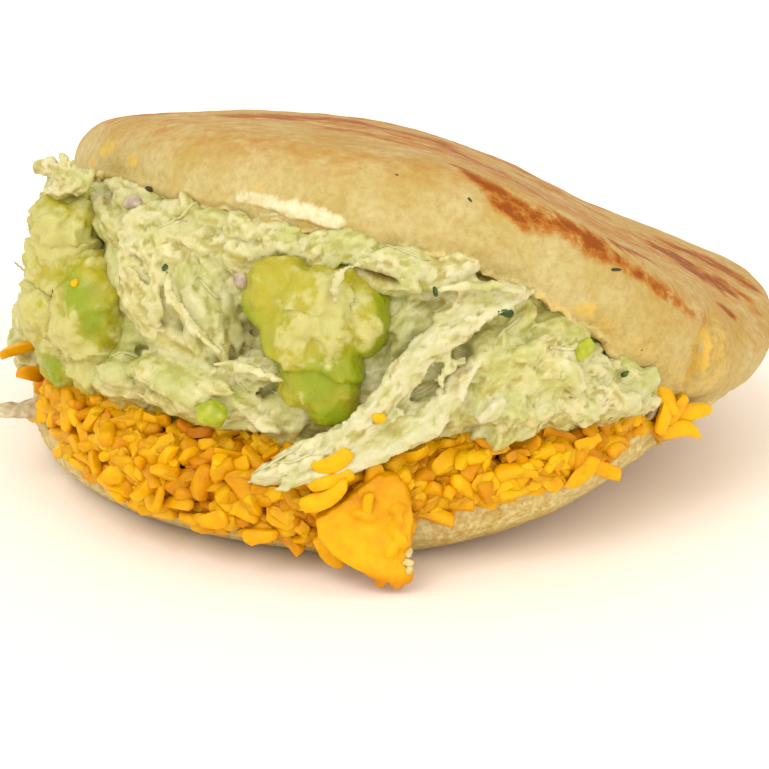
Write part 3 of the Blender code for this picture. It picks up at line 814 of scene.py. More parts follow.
def cake_rims(angles, is_open):
    """The torn lower end of the lid's side, and the base's rim. They meet along the hinge in one round side."""
    radius = cake_radius(angles)
    x, y = polar(radius, angles)
    torn = 0.9 * ripple(points(np.cos(angles), np.sin(angles), 0.3), 1.0 / 9.0)
    flat = points(x, y, 0.0)
    free = soft_step(1.0, 8.0, opening(x, y))
    torn = torn + free * (1.0 * ripple(flat, 4.6, 2.0) + 0.8 * ripple(flat, 1.9, 6.0) + 0.4 * ripple(flat, 0.9, 8.0))
    rise = (lid_point(x, y, 1.0) - lid_point(x, y))[:, 2]
    meeting = lid_point(x, y, np.maximum(0.0, -opening(x, y)) / rise)
    from_cut = np.minimum((angles - HINGE_FRONT) % (2 * pi), (HINGE_BACK - angles) % (2 * pi))
    rounded = soft_step(radians(0.5), radians(9), from_cut)[:, None]
    out = points(np.cos(angles), np.sin(angles), 0.0)
    side = (shoulder(angles, radius) + base_point(x, y, BASE_EDGE_UP - BASE_THICKNESS)) / 2 + 1.0 * out
    meeting = meeting + (side - meeting) * rounded
    foot = np.where(is_open[:, None], lid_point(x, y, torn), meeting)
    chipped = free * (0.7 * ripple(flat, 3.6, 9.0) + 0.5 * ripple(flat, 1.4, 7.0))
    rim = np.where(is_open[:, None], base_point(x, y, chipped), foot)
    return foot, rim, free


def add_lid_skin(crust, angles, foot, free):
    radius = cake_radius(angles)
    out = points(np.cos(angles), np.sin(angles), 0.0)
    for share in np.linspace(0.0, 1.0, 56):
        x, y = polar((radius - LID_EDGE_IN) * share, angles)
        thick = LID_THICKNESS - LID_LEFT_THINNING * soft_step(0.0, CAKE_RADIUS, -x)
        crust.ring(lid_point(x, y, thick), toast=1.0)
    for turn in np.linspace(0.0, pi / 2, 15)[1:]:
        x, y = polar(radius - LID_EDGE_IN * (1.0 - np.sin(turn)), angles)
        thick = LID_THICKNESS - LID_LEFT_THINNING * soft_step(0.0, CAKE_RADIUS, -x)
        edge = lid_point(x, y, thick - LID_EDGE_DOWN * (1.0 - np.cos(turn)))
        crust.ring(edge, toast=1.0 - soft_step(0.35, 1.35, turn))
    for step in np.linspace(0.0, 1.0, 22)[1:]:
        where = edge + (foot - edge) * step + out * (0.8 * np.sin(pi * step) * (1.0 - step))[..., None]
        crust.ring(where, crumb=0.7 * free * soft_step(0.66, 1.0, step))
    crust.close()


def add_pocket_wall(crust, face_point, angles, is_open, rim):
    """One wall of the pocket, from the middle out to its rim or to the end of the cut."""
    radius = cake_radius(angles)
    end = reach_where_open(angles, 0.0, radius)
    closed = ~is_open & (end < radius - 1e-3)
    edge = np.where(closed[:, None], face_point(*polar(end, angles)), rim)
    for share in (0.0, 0.3, 0.5, 0.65, 0.75, 0.81, 0.85, 0.885, 0.915, 0.94, 0.96, 0.975, 0.988):
        crust.ring(face_point(*polar(end * share, angles)), crumb=1.0)
    crust.ring(edge, crumb=1.0)
    crust.close()


def add_base_skin(crust, angles, rim, free):
    radius = cake_radius(angles)
    for share in np.linspace(0.0, 1.0, 16):
        x, y = polar((radius - BASE_EDGE_IN) * share, angles)
        crust.ring(points(x, y, base_lift(x, y)), toast=1.0)
    for turn in np.linspace(pi / 2, 0.0, 13)[1:]:
        x, y = polar(radius - BASE_EDGE_IN * (1.0 - np.cos(turn)), angles)
        flare = 1.0 + (np.hypot(rim[:, 0], rim[:, 1]) / radius - 1.0) * np.cos(turn)
        side = points(x * flare, y * flare, base_lift(x, y) + BASE_EDGE_UP * (1.0 - np.sin(turn)))
        crust.ring(side, toast=0.8 * soft_step(0.5, 1.5, turn), crumb=0.36 * (1.0 - soft_step(0.2, 1.2, turn)))
    for step in (0.2, 0.4, 0.6, 0.8, 1.0):
        crust.ring(side + (rim - side) * step, crumb=0.36 + 0.6 * free * soft_step(0.1, 0.9, step))
    crust.close()


def build_corn_cake(cake):
    """Both halves and the hinge as one piece of bread, with its torn edges, crease and browned streaks."""
    open_steps = 480
    angles, is_open = cake_angles(open_steps, 130)
    crust = Crust(len(angles))
    foot, rim, free = cake_rims(angles, is_open)
    add_lid_skin(crust, angles, foot, free)
    add_pocket_wall(crust, lid_point, angles, is_open, foot)
    add_pocket_wall(crust, base_point, angles, is_open, rim)
    add_base_skin(crust, angles, rim, free)
    mesh = crust.mesh("corn_cake_bread")
    weld(mesh, smoothing=2)

    # The uncut hinge is round, and the cake's right end tapers down to it.
    where = read(mesh, "points")
    hinge = np.concatenate((rim[open_steps + 5 :: 4], rim[:1]))
    outside = np.hypot(where[:, 0], where[:, 1]) > 40.0
    soften(mesh, np.flatnonzero((from_path(where, hinge) < 6.0) & outside), 60)
    where = read(mesh, "points")
    reach = np.hypot(where[:, 0], where[:, 1])
    toward_end = np.cos(np.arctan2(where[:, 1], where[:, 0]) - radians(-12))
    drawn_in = soft_step(0.6, 0.95, toward_end) * soft_step(23.0, 6.0, where[:, 2]) * soft_step(38.0, 50.0, reach)
    proud = soft_step(0.75, 0.98, toward_end) * soft_step(14.0, 22.0, where[:, 2]) * soft_step(40.0, 50.0, reach)
    where[:, :2] *= (1.0 - 0.045 * drawn_in + 0.034 * proud)[:, None]
    write_points(mesh, where)

    normals, crumb = read(mesh, "normals"), read(mesh, "crumb")
    skin = 0.34 * ripple(where, 13.0, 1.0) + 0.16 * ripple(where, 4.5, 3.0) + 0.08 * ripple(where, 1.6, 5.0)
    torn = 0.45 * ripple(where, 3.1, 2.0) + 0.5 * ripple(where, 1.4, 4.0) + 0.35 * ridges(where, 1.2, 7.0)
    lift = skin + (torn - skin) * np.minimum(1.0, 1.3 * crumb)
    fold = np.exp(-((from_path(where + 0.25 * ripples(where, 3.0), CREASE) / CREASE_HALF_WIDTH) ** 2))
    # The smears are raised cream, and their pale colour is partly a painted highlight.
    smear = streaked(where, CREAM_SMEARS_AND_HIGHLIGHTS, 0.5)
    lift = lift - CREASE_DEPTH * fold + 0.4 * soft_step(0.2, 0.7, smear)
    lift = lift - SADDLE_DEPTH * np.exp(-((from_path(where, SADDLE) / SADDLE_HALF_WIDTH) ** 2))
    rest = soft_step(0.0, 1.5, where[:, 2])
    facts = {
        "griddle": streaked(where, LID_STREAKS + BASE_STREAKS),
        "oil": smear,
        # The crease is also tinted with the stain colour as warm painted shade.
        "butter": np.maximum(streaked(where, YELLOW_STAINS, 0.6), 0.9 * fold),
    }
    write_facts(mesh, facts)
    write_points(mesh, where + normals * (lift * rest)[:, None])
    bread = griddled_dough(cake)
    add_piece("corn_cake_bread", mesh, bread, ["corn_cake"])

    flap = Clay()
    axes = np.array(((-0.93, -0.36, 0.05), (0.36, -0.93, 0.0), (0.0, 0.0, 1.0)))
    flap.ball(np.array((-52.6, -19.5, 11.4)), axes, (6.6, 2.6, 1.1), {}, sides=40)
    flap = flap.mesh("torn_flap")
    weld(flap)
    where, normals = read(flap, "points"), read(flap, "normals")
    rough = 0.8 * ripple(where, 2.2, 3.0) + 0.5 * ripple(where, 0.9, 4.0)
    write_points(flap, where + normals * rough[:, None])
    torn_crust = moist_bit("torn_crust", cake.torn_colour, cake.torn_deep_colour, 0.65)
    add_piece("torn_flap", flap, torn_crust)


# ---------------------------------------------------------------- the cheese

CHEESE_BULGE = 1.8
CHEESE_DRAPE = 3.0
CHEESE_DRAPE_BULGE = 2.0
# Stations of a shred along its length, and how wide it is there.
SHRED_STATIONS = np.array((-1.0, -0.9, -0.5, 0.0, 0.5, 0.9, 1.0))
SHRED_WIDTHS = np.array((0.5, 0.82, 1.0, 1.05, 1.0, 0.84, 0.48))
SHRED_SIDES = 8
# Share of the heap's side that is left bare over the bread's rim, at angles in degrees.
BARE_ANGLES = (-180.0, -160.0, -146.0, -130.0, -112.0, -96.0, -84.0, -60.0)
BARE_LEVELS = (0.46, 0.4, 0.28, 0.18, 0.13, 0.12, 0.08, 0.0)


def cheese_outline(angle):
    """Radius and height of the heap's side at each angle, from its foot to its upper edge."""
    reach = reach_of_cheese(angle)
    x, y = polar(reach, angle)
    foot, top = base_point(x, y, SEAT_GAP)[:, 2], cheese_point(x, y)[:, 2]
    rim = cake_radius(angle)
    deep = top - foot
    turn = np.where(angle > pi, angle - 2 * pi, angle)
    drape = soft_step(DRAPE_START, DRAPE_FULL[0], turn) * (1.0 - soft_step(DRAPE_FULL[1], DRAPE_END, turn))
    proud = soft_step(CHEESE_MIN_OPENING, 2.5 * CHEESE_MIN_OPENING, deep)
    proud = proud * (1.0 - 0.9 * soft_step(*CHEESE_LEFT_SPAN, -rim * np.cos(angle)))
    lip = reach + (rim + 1.5 * SEAT_GAP - reach) * np.maximum(proud, drape)
    belly = reach + proud * (CHEESE_INSET + CHEESE_BULGE) + drape * CHEESE_DRAPE_BULGE
    hang = CHEESE_DRAPE * drape
    radii = (lip, (lip + belly) / 2, belly, belly - 0.4, reach, reach - 3.0)
    heights = (foot - hang, foot - 1.1 * hang + 0.4, foot + 0.35 * deep - 0.5 * hang, foot + 0.75 * deep, top, top + 0.3)
    return np.stack(radii, -1), np.stack(heights, -1)


def on_cheese(angle, level):
    """Points on the heap's side and their outward normals, from level 0 at its foot to 1 at the top."""
    radii, heights = cheese_outline(angle)
    place = np.clip(level, 0.0, 0.9999) * (radii.shape[1] - 1)
    index = place.astype(int)
    rest = place - index
    row = np.arange(len(angle))
    radius = radii[row, index] * (1 - rest) + radii[row, index + 1] * rest
    height = heights[row, index] * (1 - rest) + heights[row, index + 1] * rest
    run = radii[row, index + 1] - radii[row, index]
    climb = heights[row, index + 1] - heights[row, index]
    normal = unit(np.stack((climb * np.cos(angle), climb * np.sin(angle), -run), -1) + 1e-6)
    x, y = polar(radius, angle)
    return points(x, y, height), normal


def shred_mesh(rng, centres, along, facing, sizes, shades):
    """Stubby, slightly bent shreds, each with its own facets. Sizes are length, width and thickness in mm."""
    count, stations, sides = len(centres), len(SHRED_STATIONS), SHRED_SIDES
    across = unit(np.cross(facing, along))
    facing = unit(np.cross(along, across))
    turns = 2 * pi * (np.arange(sides) + 0.5) / sides
    corner_x = np.sign(np.cos(turns)) * np.abs(np.cos(turns)) ** 0.62
    corner_y = np.sign(np.sin(turns)) * np.abs(np.sin(turns)) ** 0.62
    shape = 1.0 + 0.14 * rng.standard_normal((count, 1, sides)) + 0.07 * rng.standard_normal((count, stations, sides))
    taper = SHRED_WIDTHS + (1 - SHRED_WIDTHS) * rng.uniform(-0.6, 0.5, (count, 1))
    taper = taper * (1.0 + rng.uniform(-0.24, 0.24, (count, 1)) * SHRED_STATIONS)
    wide = sizes[:, 1, None, None] / 2 * corner_x * shape * taper[..., None]
    thick = sizes[:, 2, None, None] / 2 * corner_y * shape * (0.35 + 0.65 * taper[..., None])
    bend = rng.normal(0.0, 0.1, (count, 1)) * SHRED_STATIONS**2 * sizes[:, :1]
    lift = rng.normal(0.0, 0.07, (count, 1)) * SHRED_STATIONS**2 * sizes[:, :1]
    slant = rng.normal(0.0, 0.35, (count, 1, 1)) * wide
    run = sizes[:, 0, None, None] / 2 * SHRED_STATIONS[:, None] + slant
    wide, thick = wide + bend[..., None], thick + lift[..., None]
    where = centres[:, None, None] + along[:, None, None] * run[..., None]
    where = where + across[:, None, None] * wide[..., None] + facing[:, None, None] * thick[..., None]
    tips = where[:, (0, -1)].mean(2) + along[:, None] * np.array((-0.06, 0.06))[:, None] * sizes[:, 1, None, None]
    where = np.concatenate((where.reshape(count, -1, 3), tips), 1)
    j = np.arange(sides)
    k = (j + 1) % sides
    low, high = stations * sides, stations * sides + 1
    ends = [(low, b, a) for a, b in zip(j, k)] + [(high, low - sides + a, low - sides + b) for a, b in zip(j, k)]
    pattern = [list(f) for f in ring_faces(stations, sides)[:, ::-1]] + ends
    size = where.shape[1]
    faces = [[int(i) + n * size for i in face] for n in range(count) for face in pattern]
    return add_mesh("shreds", where.reshape(-1, 3), faces, {"shade": np.repeat(shades, size)})


def scatter_shreds(cheese, rng):
    """Where the shreds of the heap lie: three loose layers over its side."""
    count = cheese.shred_count
    angle = rng.uniform(HINGE_BACK, HINGE_BACK + OPEN_SPAN, 4 * count)
    radii, heights = cheese_outline(angle)
    outline = np.hypot(np.diff(radii, axis=1), np.diff(heights, axis=1)).sum(1)
    share = outline * (1.0 - 0.75 * soft_step(*CHEESE_LEFT_SPAN, -cake_radius(angle) * np.cos(angle)))
    kept = rng.uniform(0.0, 17.0, len(angle)) < share
    angle = angle[kept][:count]
    turn = np.where(angle > pi, angle - 2 * pi, angle)
    bare = np.interp(np.degrees(turn), BARE_ANGLES, BARE_LEVELS)
    level = rng.uniform(0.0, 1.0, len(angle))
    centre, normal = on_cheese(angle, bare + (1.0 - bare) * level)
    size = len(angle)
    layer = rng.integers(0, 3, size)
    depth = np.array((-2.1, -1.0, 0.0))[layer] + rng.normal(0.0, 0.25, size)
    centre = centre + normal * depth[:, None]
    round_rim = points(-np.sin(angle), np.cos(angle), 0.0)
    climb = unit(np.cross(normal, round_rim))
    turn = rng.normal(0.0, radians(40), size) * (0.3 + 0.7 * soft_step(0.0, 0.4, level))
    lean = rng.normal(0.0, radians(17), size)
    along = round_rim * np.cos(turn)[:, None] + climb * np.sin(turn)[:, None]
    along = along * np.cos(lean)[:, None] + normal * np.sin(lean)[:, None]
    facing = unit(normal + 0.55 * rng.standard_normal((size, 3)))
    length = 2.6 + 4.4 * rng.uniform(0.0, 1.0, size) ** 1.4
    sizes = np.stack((length, rng.uniform(1.7, 3.0, size), rng.uniform(1.3, 2.1, size)), -1) * cheese.shred_size
    # Lower layers are given painted shade: a higher shade fact.
    shades = np.clip(rng.normal(0.34, 0.2, size) + 0.5 * (2 - layer) / 2, 0.0, 1.0)
    return centre, along, facing, sizes, shades


# Shreds that stick out or lie apart: middle, direction, size in mm and shade.
LOOSE_SHREDS = (
    ((-55.6, -14.0, 18.9), (-0.88, -0.3, -0.2), (5.4, 2.2, 1.9), 0.35),
    ((-52.5, -17.5, 16.2), (-0.5, -0.6, 0.3), (5.5, 2.2, 1.6), 0.5),
    ((40.0, -38.6, 20.4), (0.45, 0.1, -0.9), (5.6, 2.6, 1.6), 0.1),
    ((41.6, -37.6, 18.2), (0.5, 0.2, 0.6), (4.6, 2.4, 1.6), 0.2),
    ((43.6, -35.6, 16.9), (0.95, 0.3, 0.1), (7.6, 2.4, 1.6), 0.0),
    ((42.4, -37.0, 15.3), (0.86, 0.4, -0.14), (6.4, 2.6, 1.5), 0.0),
    ((39.6, -39.4, 17.6), (0.3, 0.2, 0.9), (4.6, 2.6, 1.6), 0.1),
    ((-7.2, -59.6, 18.4), (0.82, -0.1, 0.42), (5.8, 2.4, 1.5), 0.1),
    ((-7.6, -60.2, 16.2), (0.86, -0.1, 0.34), (6.4, 2.2, 1.4), 0.15),
    ((-8.0, -60.7, 13.9), (0.8, -0.1, 0.5), (7.4, 2.6, 1.6), 0.1),
    ((-2.6, -60.9, 12.6), (0.1, -0.1, 0.95), (4.6, 1.6, 1.0), 0.25),
    ((19.0, -53.0, 14.4), (0.6, 0.1, 0.75), (6.0, 2.4, 1.6), 0.25),
    ((22.5, -51.8, 13.6), (-0.5, 0.1, 0.8), (5.0, 2.4, 1.4), 0.3),
    ((27.5, -49.6, 13.2), (0.5, 0.2, 0.6), (5.4, 2.6, 1.6), 0.2),
    ((31.0, -47.6, 12.8), (0.8, 0.3, -0.4), (5.0, 2.2, 1.4), 0.3),
    ((3.2, -56.2, 12.6), (0.9, 0.0, 0.2), (4.0, 1.8, 1.2), 0.35),
    ((6.0, -56.0, 10.6), (0.9, 0.1, -0.1), (3.6, 1.4, 0.9), 0.1),
    ((-24.0, -53.2, 7.4), (0.9, -0.2, 0.3), (4.2, 2.2, 1.4), 0.3),
    ((-17.5, -55.6, 6.2), (0.9, -0.1, 0.1), (5.0, 2.2, 1.6), 0.25),
    ((-8.0, -58.0, 4.6), (-0.5, -0.1, 0.8), (5.6, 2.2, 1.5), 0.25),
    ((-40.5, -39.0, 9.4), (-0.7, 0.6, 0.3), (4.6, 2.2, 1.4), 0.4),
)


def build_cheese_bed(cheese):
    """The heap of grated cheese: a smaller rough core, and the shreds over it."""
    rng = np.random.default_rng(7)
    angles, _ = cake_angles(200, 50)
    reach = reach_of_cheese(angles) - 2.6
    x, y = polar(reach, angles)
    foot, top = base_point(x, y, 0.6), cheese_point(x, y, -1.3)
    rings = [base_point(*polar(reach * share, angles), 0.6) for share in (0.02, 0.4, 0.75)]
    rings += [foot + (np.maximum(top, foot) - foot) * step for step in np.linspace(0.0, 1.0, 7)]
    rings += [np.maximum(cheese_point(*polar(reach * share, angles), -1.3), 0.0) for share in (0.9, 0.75, 0.4, 0.02)]
    heap = Clay()
    heap.add(np.array(rings), base_point(0.0, 0.0, 0.6), cheese_point(0.0, 0.0, -1.3))
    core = heap.mesh("cheese_core")
    weld(core)
    where, normals = read(core, "points"), read(core, "normals")
    write_points(core, where + normals * (0.7 * ripple(where, 2.4))[:, None])
    # The core shows only between the shreds, so it gets the full painted shade.
    write_facts(core, {"shade": 1.0})
    cheddar_finish = cheddar(cheese)
    add_piece("cheese_core", core, cheddar_finish)

    centre, along, facing, sizes, shades = scatter_shreds(cheese, rng)
    loose = [np.array([row[i] for row in LOOSE_SHREDS], float) for i in range(4)]
    outward = unit(loose[0] * (1.0, 1.0, 0.0) + UP * 12.0)
    mesh = shred_mesh(
        rng,
        np.concatenate((centre, loose[0])),
        unit(np.concatenate((along, loose[1]))),
        np.concatenate((facing, outward)),
        np.concatenate((sizes, loose[2])),
        np.concatenate((shades, loose[3])),
    )
    mesh.name = "cheese_shreds"
    add_piece("cheese_shreds", mesh, cheddar_finish, ["grated_cheese"], sharp=62)


# Rows of the broad slice from its foot up: height, left edge, right edge and how far out its front is.
SLAB_ROWS = (
    (2.2, -0.9, 2.6, -62.6),
    (4.0, -4.2, 2.9, -62.4),
    (6.0, -7.4, 3.1, -62.0),
    (8.4, -9.4, 3.4, -61.6),
    (10.6, -9.6, 3.7, -61.1),
    (13.0, -6.2, 3.4, -60.5),
    (15.0, -3.6, 2.8, -59.9),
    (16.6, -1.4, 1.6, -59.3),
)
SLAB_THICKNESS = 2.7


def build_slab(cheese):
    """The broad slice of cheese that leans on the rim, with a second layer under its tip that is darkened with painted
    shade, and flakes stuck to it.
    """
    rng = np.random.default_rng(11)
    clay = Clay()
    for shift, thick, rows in ((np.zeros(3), SLAB_THICKNESS, SLAB_ROWS), (np.array((0.4, 1.6, -0.5)), 1.9, SLAB_ROWS[:5])):
        rings = []
        for height, left, right, front in rows:
            across = np.linspace(left, right, 7)
            swell = 0.35 * np.sin(pi * np.linspace(0.0, 1.0, 7))
            near = points(across, front - swell + 0.05 * (across - left), height)
            far = points(across[::-1], front + thick, height)
            rings.append(np.concatenate((near, far)) + shift)
        rings = np.array(rings)
        low, high = rings[0].mean(0) - UP * 0.5, rings[-1].mean(0) + UP * 0.4
        clay.add(rings, low, high)
    slab_heights, _, _, slab_fronts = np.array(SLAB_ROWS).T
    for x, z, lean, length in (
        (1.4, 10.4, 0.8, 3.2),
        (2.0, 8.2, -0.6, 3.0),
        (0.8, 6.8, 0.3, 2.6),
        (1.6, 12.4, 1.3, 2.4),
        (-3.0, 11.6, -1.2, 3.4),
    ):
        y = np.interp(z, slab_heights, slab_fronts) + 0.05 * (x + 8.0) - 0.6
        axes = np.array(((np.sin(lean), 0.0, np.cos(lean)), (np.cos(lean), 0.0, -np.sin(lean)), (0.0, -1.0, 0.0)))
        clay.ball(np.array((x, y, z)), axes, (length / 2, 0.9, 0.6), {}, sides=10)
    for x, z in rng.uniform((-1.0, 1.6), (3.2, 3.4), (7, 2)):
        clay.ball(np.array((x, -61.4, z)), np.eye(3), rng.uniform(0.7, 1.3, 3), {}, sides=10)
    mesh = clay.pressed("cheese_slab_slice", 0.33, 2)
    where, normals = read(mesh, "points"), read(mesh, "normals")
    edge = soft_step(9.0, 13.0, where[:, 2]) + soft_step(4.6, 2.6, where[:, 2])
    rough = 0.18 * ripple(where, 3.0) + 0.14 * ripple(where, 1.1) * (0.4 + edge)
    write_points(mesh, where + normals * rough[:, None])
    # Painted shade on the back face and the layer under the tip; the slice is also darker towards its foot and towards
    # its top.
    under = soft_step(1.4, 2.6, where[:, 1] - np.interp(where[:, 2], slab_heights, slab_fronts))
    shade = 0.22 + 0.75 * under + 0.5 * soft_step(4.0, 2.0, where[:, 2]) + 0.3 * soft_step(9.0, 14.0, where[:, 2])
    write_facts(mesh, {"shade": shade})
    add_piece("cheese_slab_slice", mesh, cheddar(cheese), ["cheese_slab"])


# ---------------------------------------------------------------- the salad

# Lumps in the mouth: angle in degrees, share of the height, how far out in mm, half length along its fibres, half
# width and half depth in mm, tilt in degrees, kind, how pale and how green.
LUMPS = (
    (-146, 0.88, 1.5, 9.0, 4.4, 5.0, -6, "fibre", 0.35, 0.05),
    (-158, 0.84, 1.6, 7.0, 5.0, 5.0, 20, "smooth", 0.2, 0.4),
    (-155, 0.9, 1.8, 5.5, 3.4, 4.4, -20, "smooth", 0.35, 0.15),
    (-143, 0.95, 1.6, 6.0, 3.0, 4.4, 6, "smooth", 0.3, 0.1),
    (-135, 0.95, 1.4, 6.5, 3.0, 4.4, 8, "curd", 0.4, 0.1),
    (-127, 0.955, 1.0, 6.5, 2.8, 4.2, 8, "smooth", 0.3, 0.15),
    (-119, 0.96, 0.6, 6.0, 2.6, 4.0, 8, "curd", 0.4, 0.1),
    (-139, 0.86, 2.4, 6.5, 3.2, 4.4, 10, "fibre", 0.4, 0.05),
    (-129, 0.86, 2.0, 6.5, 3.2, 4.4, -10, "smooth", 0.4, 0.05),
    (-138, 0.76, 2.6, 6.5, 3.6, 4.2, -20, "fibre", 0.5, 0.05),
    (-130, 0.74, 2.6, 6.0, 3.6, 4.2, -30, "curd", 0.4, 0.0),
    (-134, 0.62, 1.5, 9.5, 6.4, 5.5, -48, "fibre", 0.3, 0.0),
    (-124, 0.58, 2.6, 10.5, 3.4, 4.0, -62, "fibre", 0.5, 0.0),
    (-142, 0.6, 0.8, 7.0, 5.0, 5.0, -70, "smooth", 0.3, 0.1),
    (-121, 0.84, 1.2, 6.5, 3.6, 4.5, -15, "curd", 0.3, 0.1),
    (-114, 0.93, 0.4, 6.0, 3.0, 4.0, 12, "fibre", 0.4, 0.05),
    (-130, 0.4, 1.8, 8.0, 3.2, 4.5, -15, "smooth", 0.3, 0.0),
    (-121, 0.19, 2.4, 12.0, 4.2, 5.0, -4, "fibre", 0.25, 0.1),
    (-136, 0.13, 1.8, 6.0, 4.0, 4.5, 5, "smooth", 0.2, 0.25),
    (-111, 0.37, 3.4, 5.5, 1.8, 2.4, 4, "fibre", 0.95, 0.0),
    (-108, 0.12, 1.4, 5.0, 3.6, 4.0, -10, "curd", 0.25, 0.1),
    (-106, 0.95, 0.6, 6.5, 3.2, 4.4, 14, "fibre", 0.5, 0.0),
    (-96, 0.92, 1.0, 7.5, 3.1, 4.4, -14, "fibre", 0.55, 0.0),
    (-89, 0.95, 0.4, 5.0, 3.0, 4.0, 20, "fibre", 0.4, 0.05),
    (-83, 0.9, 1.4, 7.0, 2.6, 4.0, 6, "fibre", 0.7, 0.0),
    (-69, 0.86, 0.0, 6.0, 3.6, 4.0, -10, "smooth", 0.0, 0.3),
    (-78, 0.68, 0.8, 5.5, 4.2, 4.5, 25, "curd", 0.3, 0.0),
    (-72, 0.5, 2.3, 9.0, 5.2, 5.0, -8, "curd", 0.35, 0.0),
    (-75, 0.24, 2.3, 8.0, 4.2, 5.0, -6, "curd", 0.3, 0.0),
    (-65, 0.62, 1.8, 6.5, 4.2, 4.5, -20, "curd", 0.3, 0.05),
    (-57, 0.36, 2.6, 8.0, 3.6, 4.2, -4, "curd", 0.6, 0.0),
    (-50, 0.18, 2.0, 5.5, 2.2, 2.8, -12, "fibre", 0.6, 0.0),
    (-66, 0.28, 2.4, 6.0, 4.0, 4.5, 0, "curd", 0.35, 0.0),
    (-62, 0.02, 1.2, 5.0, 2.4, 3.0, 5, "smooth", 0.0, 0.75),
    (-54, 0.0, 0.8, 4.5, 2.2, 2.6, 0, "smooth", 0.0, 0.6),
    (-48, 0.5, 0.0, 4.5, 3.0, 3.4, 0, "curd", 0.2, 0.1),
    (-55, 0.72, 0.4, 5.0, 3.2, 3.6, -15, "curd", 0.2, 0.2),
    (-88, 0.62, -3.2, 8.0, 6.0, 5.0, 30, "fibre", 0.2, 0.1),
    (-94, 0.25, -2.0, 7.0, 5.0, 5.0, 20, "fibre", 0.3, 0.0),
    (-84, 0.25, -0.8, 6.5, 4.6, 4.6, 25, "fibre", 0.35, 0.0),
    (-104, 0.2, 0.0, 6.0, 5.0, 4.6, 10, "smooth", 0.2, 0.1),
    (-151, 0.52, 0.6, 7.0, 5.4, 5.0, 60, "smooth", 0.2, 0.35),
    (-148, 0.22, 1.0, 6.5, 5.4, 5.0, 70, "smooth", 0.2, 0.4),
    (-162, 0.16, 1.0, 6.5, 5.0, 4.6, 20, "smooth", 0.15, 0.45),
    (-166, 0.5, 1.0, 7.0, 6.0, 4.8, 60, "smooth", 0.2, 0.3),
    (-170, 0.86, 0.8, 7.0, 4.6, 4.8, -10, "fibre", 0.3, 0.2),
)
# The fan of long fibres that sweeps down from the lid and hangs over the cheese, as guides from top to bottom.
FAN_GUIDES = (
    ((19.6, -52.4, 41.0), (15.5, -53.8, 40.3), (11.4, -55.3, 38.7), (6.0, -56.7, 36.3), (1.9, -57.5, 32.9),
     (-0.8, -58.0, 28.1), (-5.6, -58.2, 23.0), (-11.8, -57.8, 19.2), (-17.1, -57.6, 16.9)),
    ((16.3, -53.6, 35.9), (13.8, -54.5, 35.2), (11.4, -55.3, 34.3), (7.4, -56.5, 31.1), (4.6, -57.3, 27.1),
     (-0.1, -58.0, 23.7), (-5.6, -58.7, 20.3), (-11.8, -58.6, 17.4), (-19.5, -58.2, 15.6)),
    ((15.6, -53.3, 32.9), (14.0, -54.0, 31.3), (12.2, -54.7, 29.7), (9.5, -56.2, 25.2), (7.4, -57.0, 22.6),
     (1.2, -58.0, 20.0), (-6.3, -58.7, 17.3), (-12.5, -58.9, 15.3), (-18.0, -58.6, 14.6)),
)
FAN_FIBRES = 46
# Single curls of chicken: points along each, in mm, and its half width.
CURLS = (
    (((-6.9, -56.2, 40.0), (-7.0, -56.8, 43.0), (-5.8, -57.0, 45.6), (-3.4, -56.6, 46.8), (0.4, -55.6, 46.4)), 0.5),
    (((8.2, -56.2, 34.6), (8.8, -57.0, 32.4), (7.4, -57.6, 30.2), (7.9, -57.6, 28.6)), 0.6),
    (((19.0, -54.4, 41.4), (15.0, -55.2, 42.6), (10.5, -55.8, 42.9), (6.0, -55.8, 42.2)), 0.7),
    (((-24.5, -51.8, 30.2), (-20.0, -54.2, 30.8), (-16.0, -55.8, 30.0), (-13.4, -56.4, 29.4)), 0.9),
    (((-30.5, -45.4, 42.6), (-29.8, -46.8, 38.6), (-26.8, -49.0, 34.6), (-22.0, -52.0, 31.4)), 0.8),
    (((-50.4, -18.0, 30.2), (-53.6, -15.8, 31.6), (-56.6, -13.2, 33.4)), 0.5),
    (((-46.0, -27.0, 50.6), (-48.8, -23.4, 50.4), (-51.4, -20.2, 48.6)), 1.3),
    (((-44.0, -30.0, 49.0), (-47.0, -26.6, 47.4), (-49.6, -23.6, 46.6)), 1.0),
    (((-43.6, -28.8, 49.4), (-45.4, -27.0, 51.4), (-47.2, -25.0, 53.2)), 0.8),
    (((6.0, -57.2, 29.6), (9.0, -57.4, 31.4), (12.0, -56.6, 32.4)), 0.35),
    (((4.4, -57.4, 33.4), (8.4, -57.0, 32.6), (12.4, -55.8, 33.2)), 0.4),
)


# Tufts that stick out beyond the lid's left end: middle, half sizes in mm and the direction of their fibres.
LEFT_TUFTS = (
    ((-44.6, -27.0, 49.6), (4.4, 1.4, 1.8), (-0.6, 0.75, -0.1)),
    ((-46.6, -23.4, 47.6), (4.4, 1.6, 2.0), (-0.5, 0.75, -0.3)),
    ((-48.0, -22.4, 43.0), (4.2, 2.4, 2.6), (-0.4, 0.6, -0.6)),
)


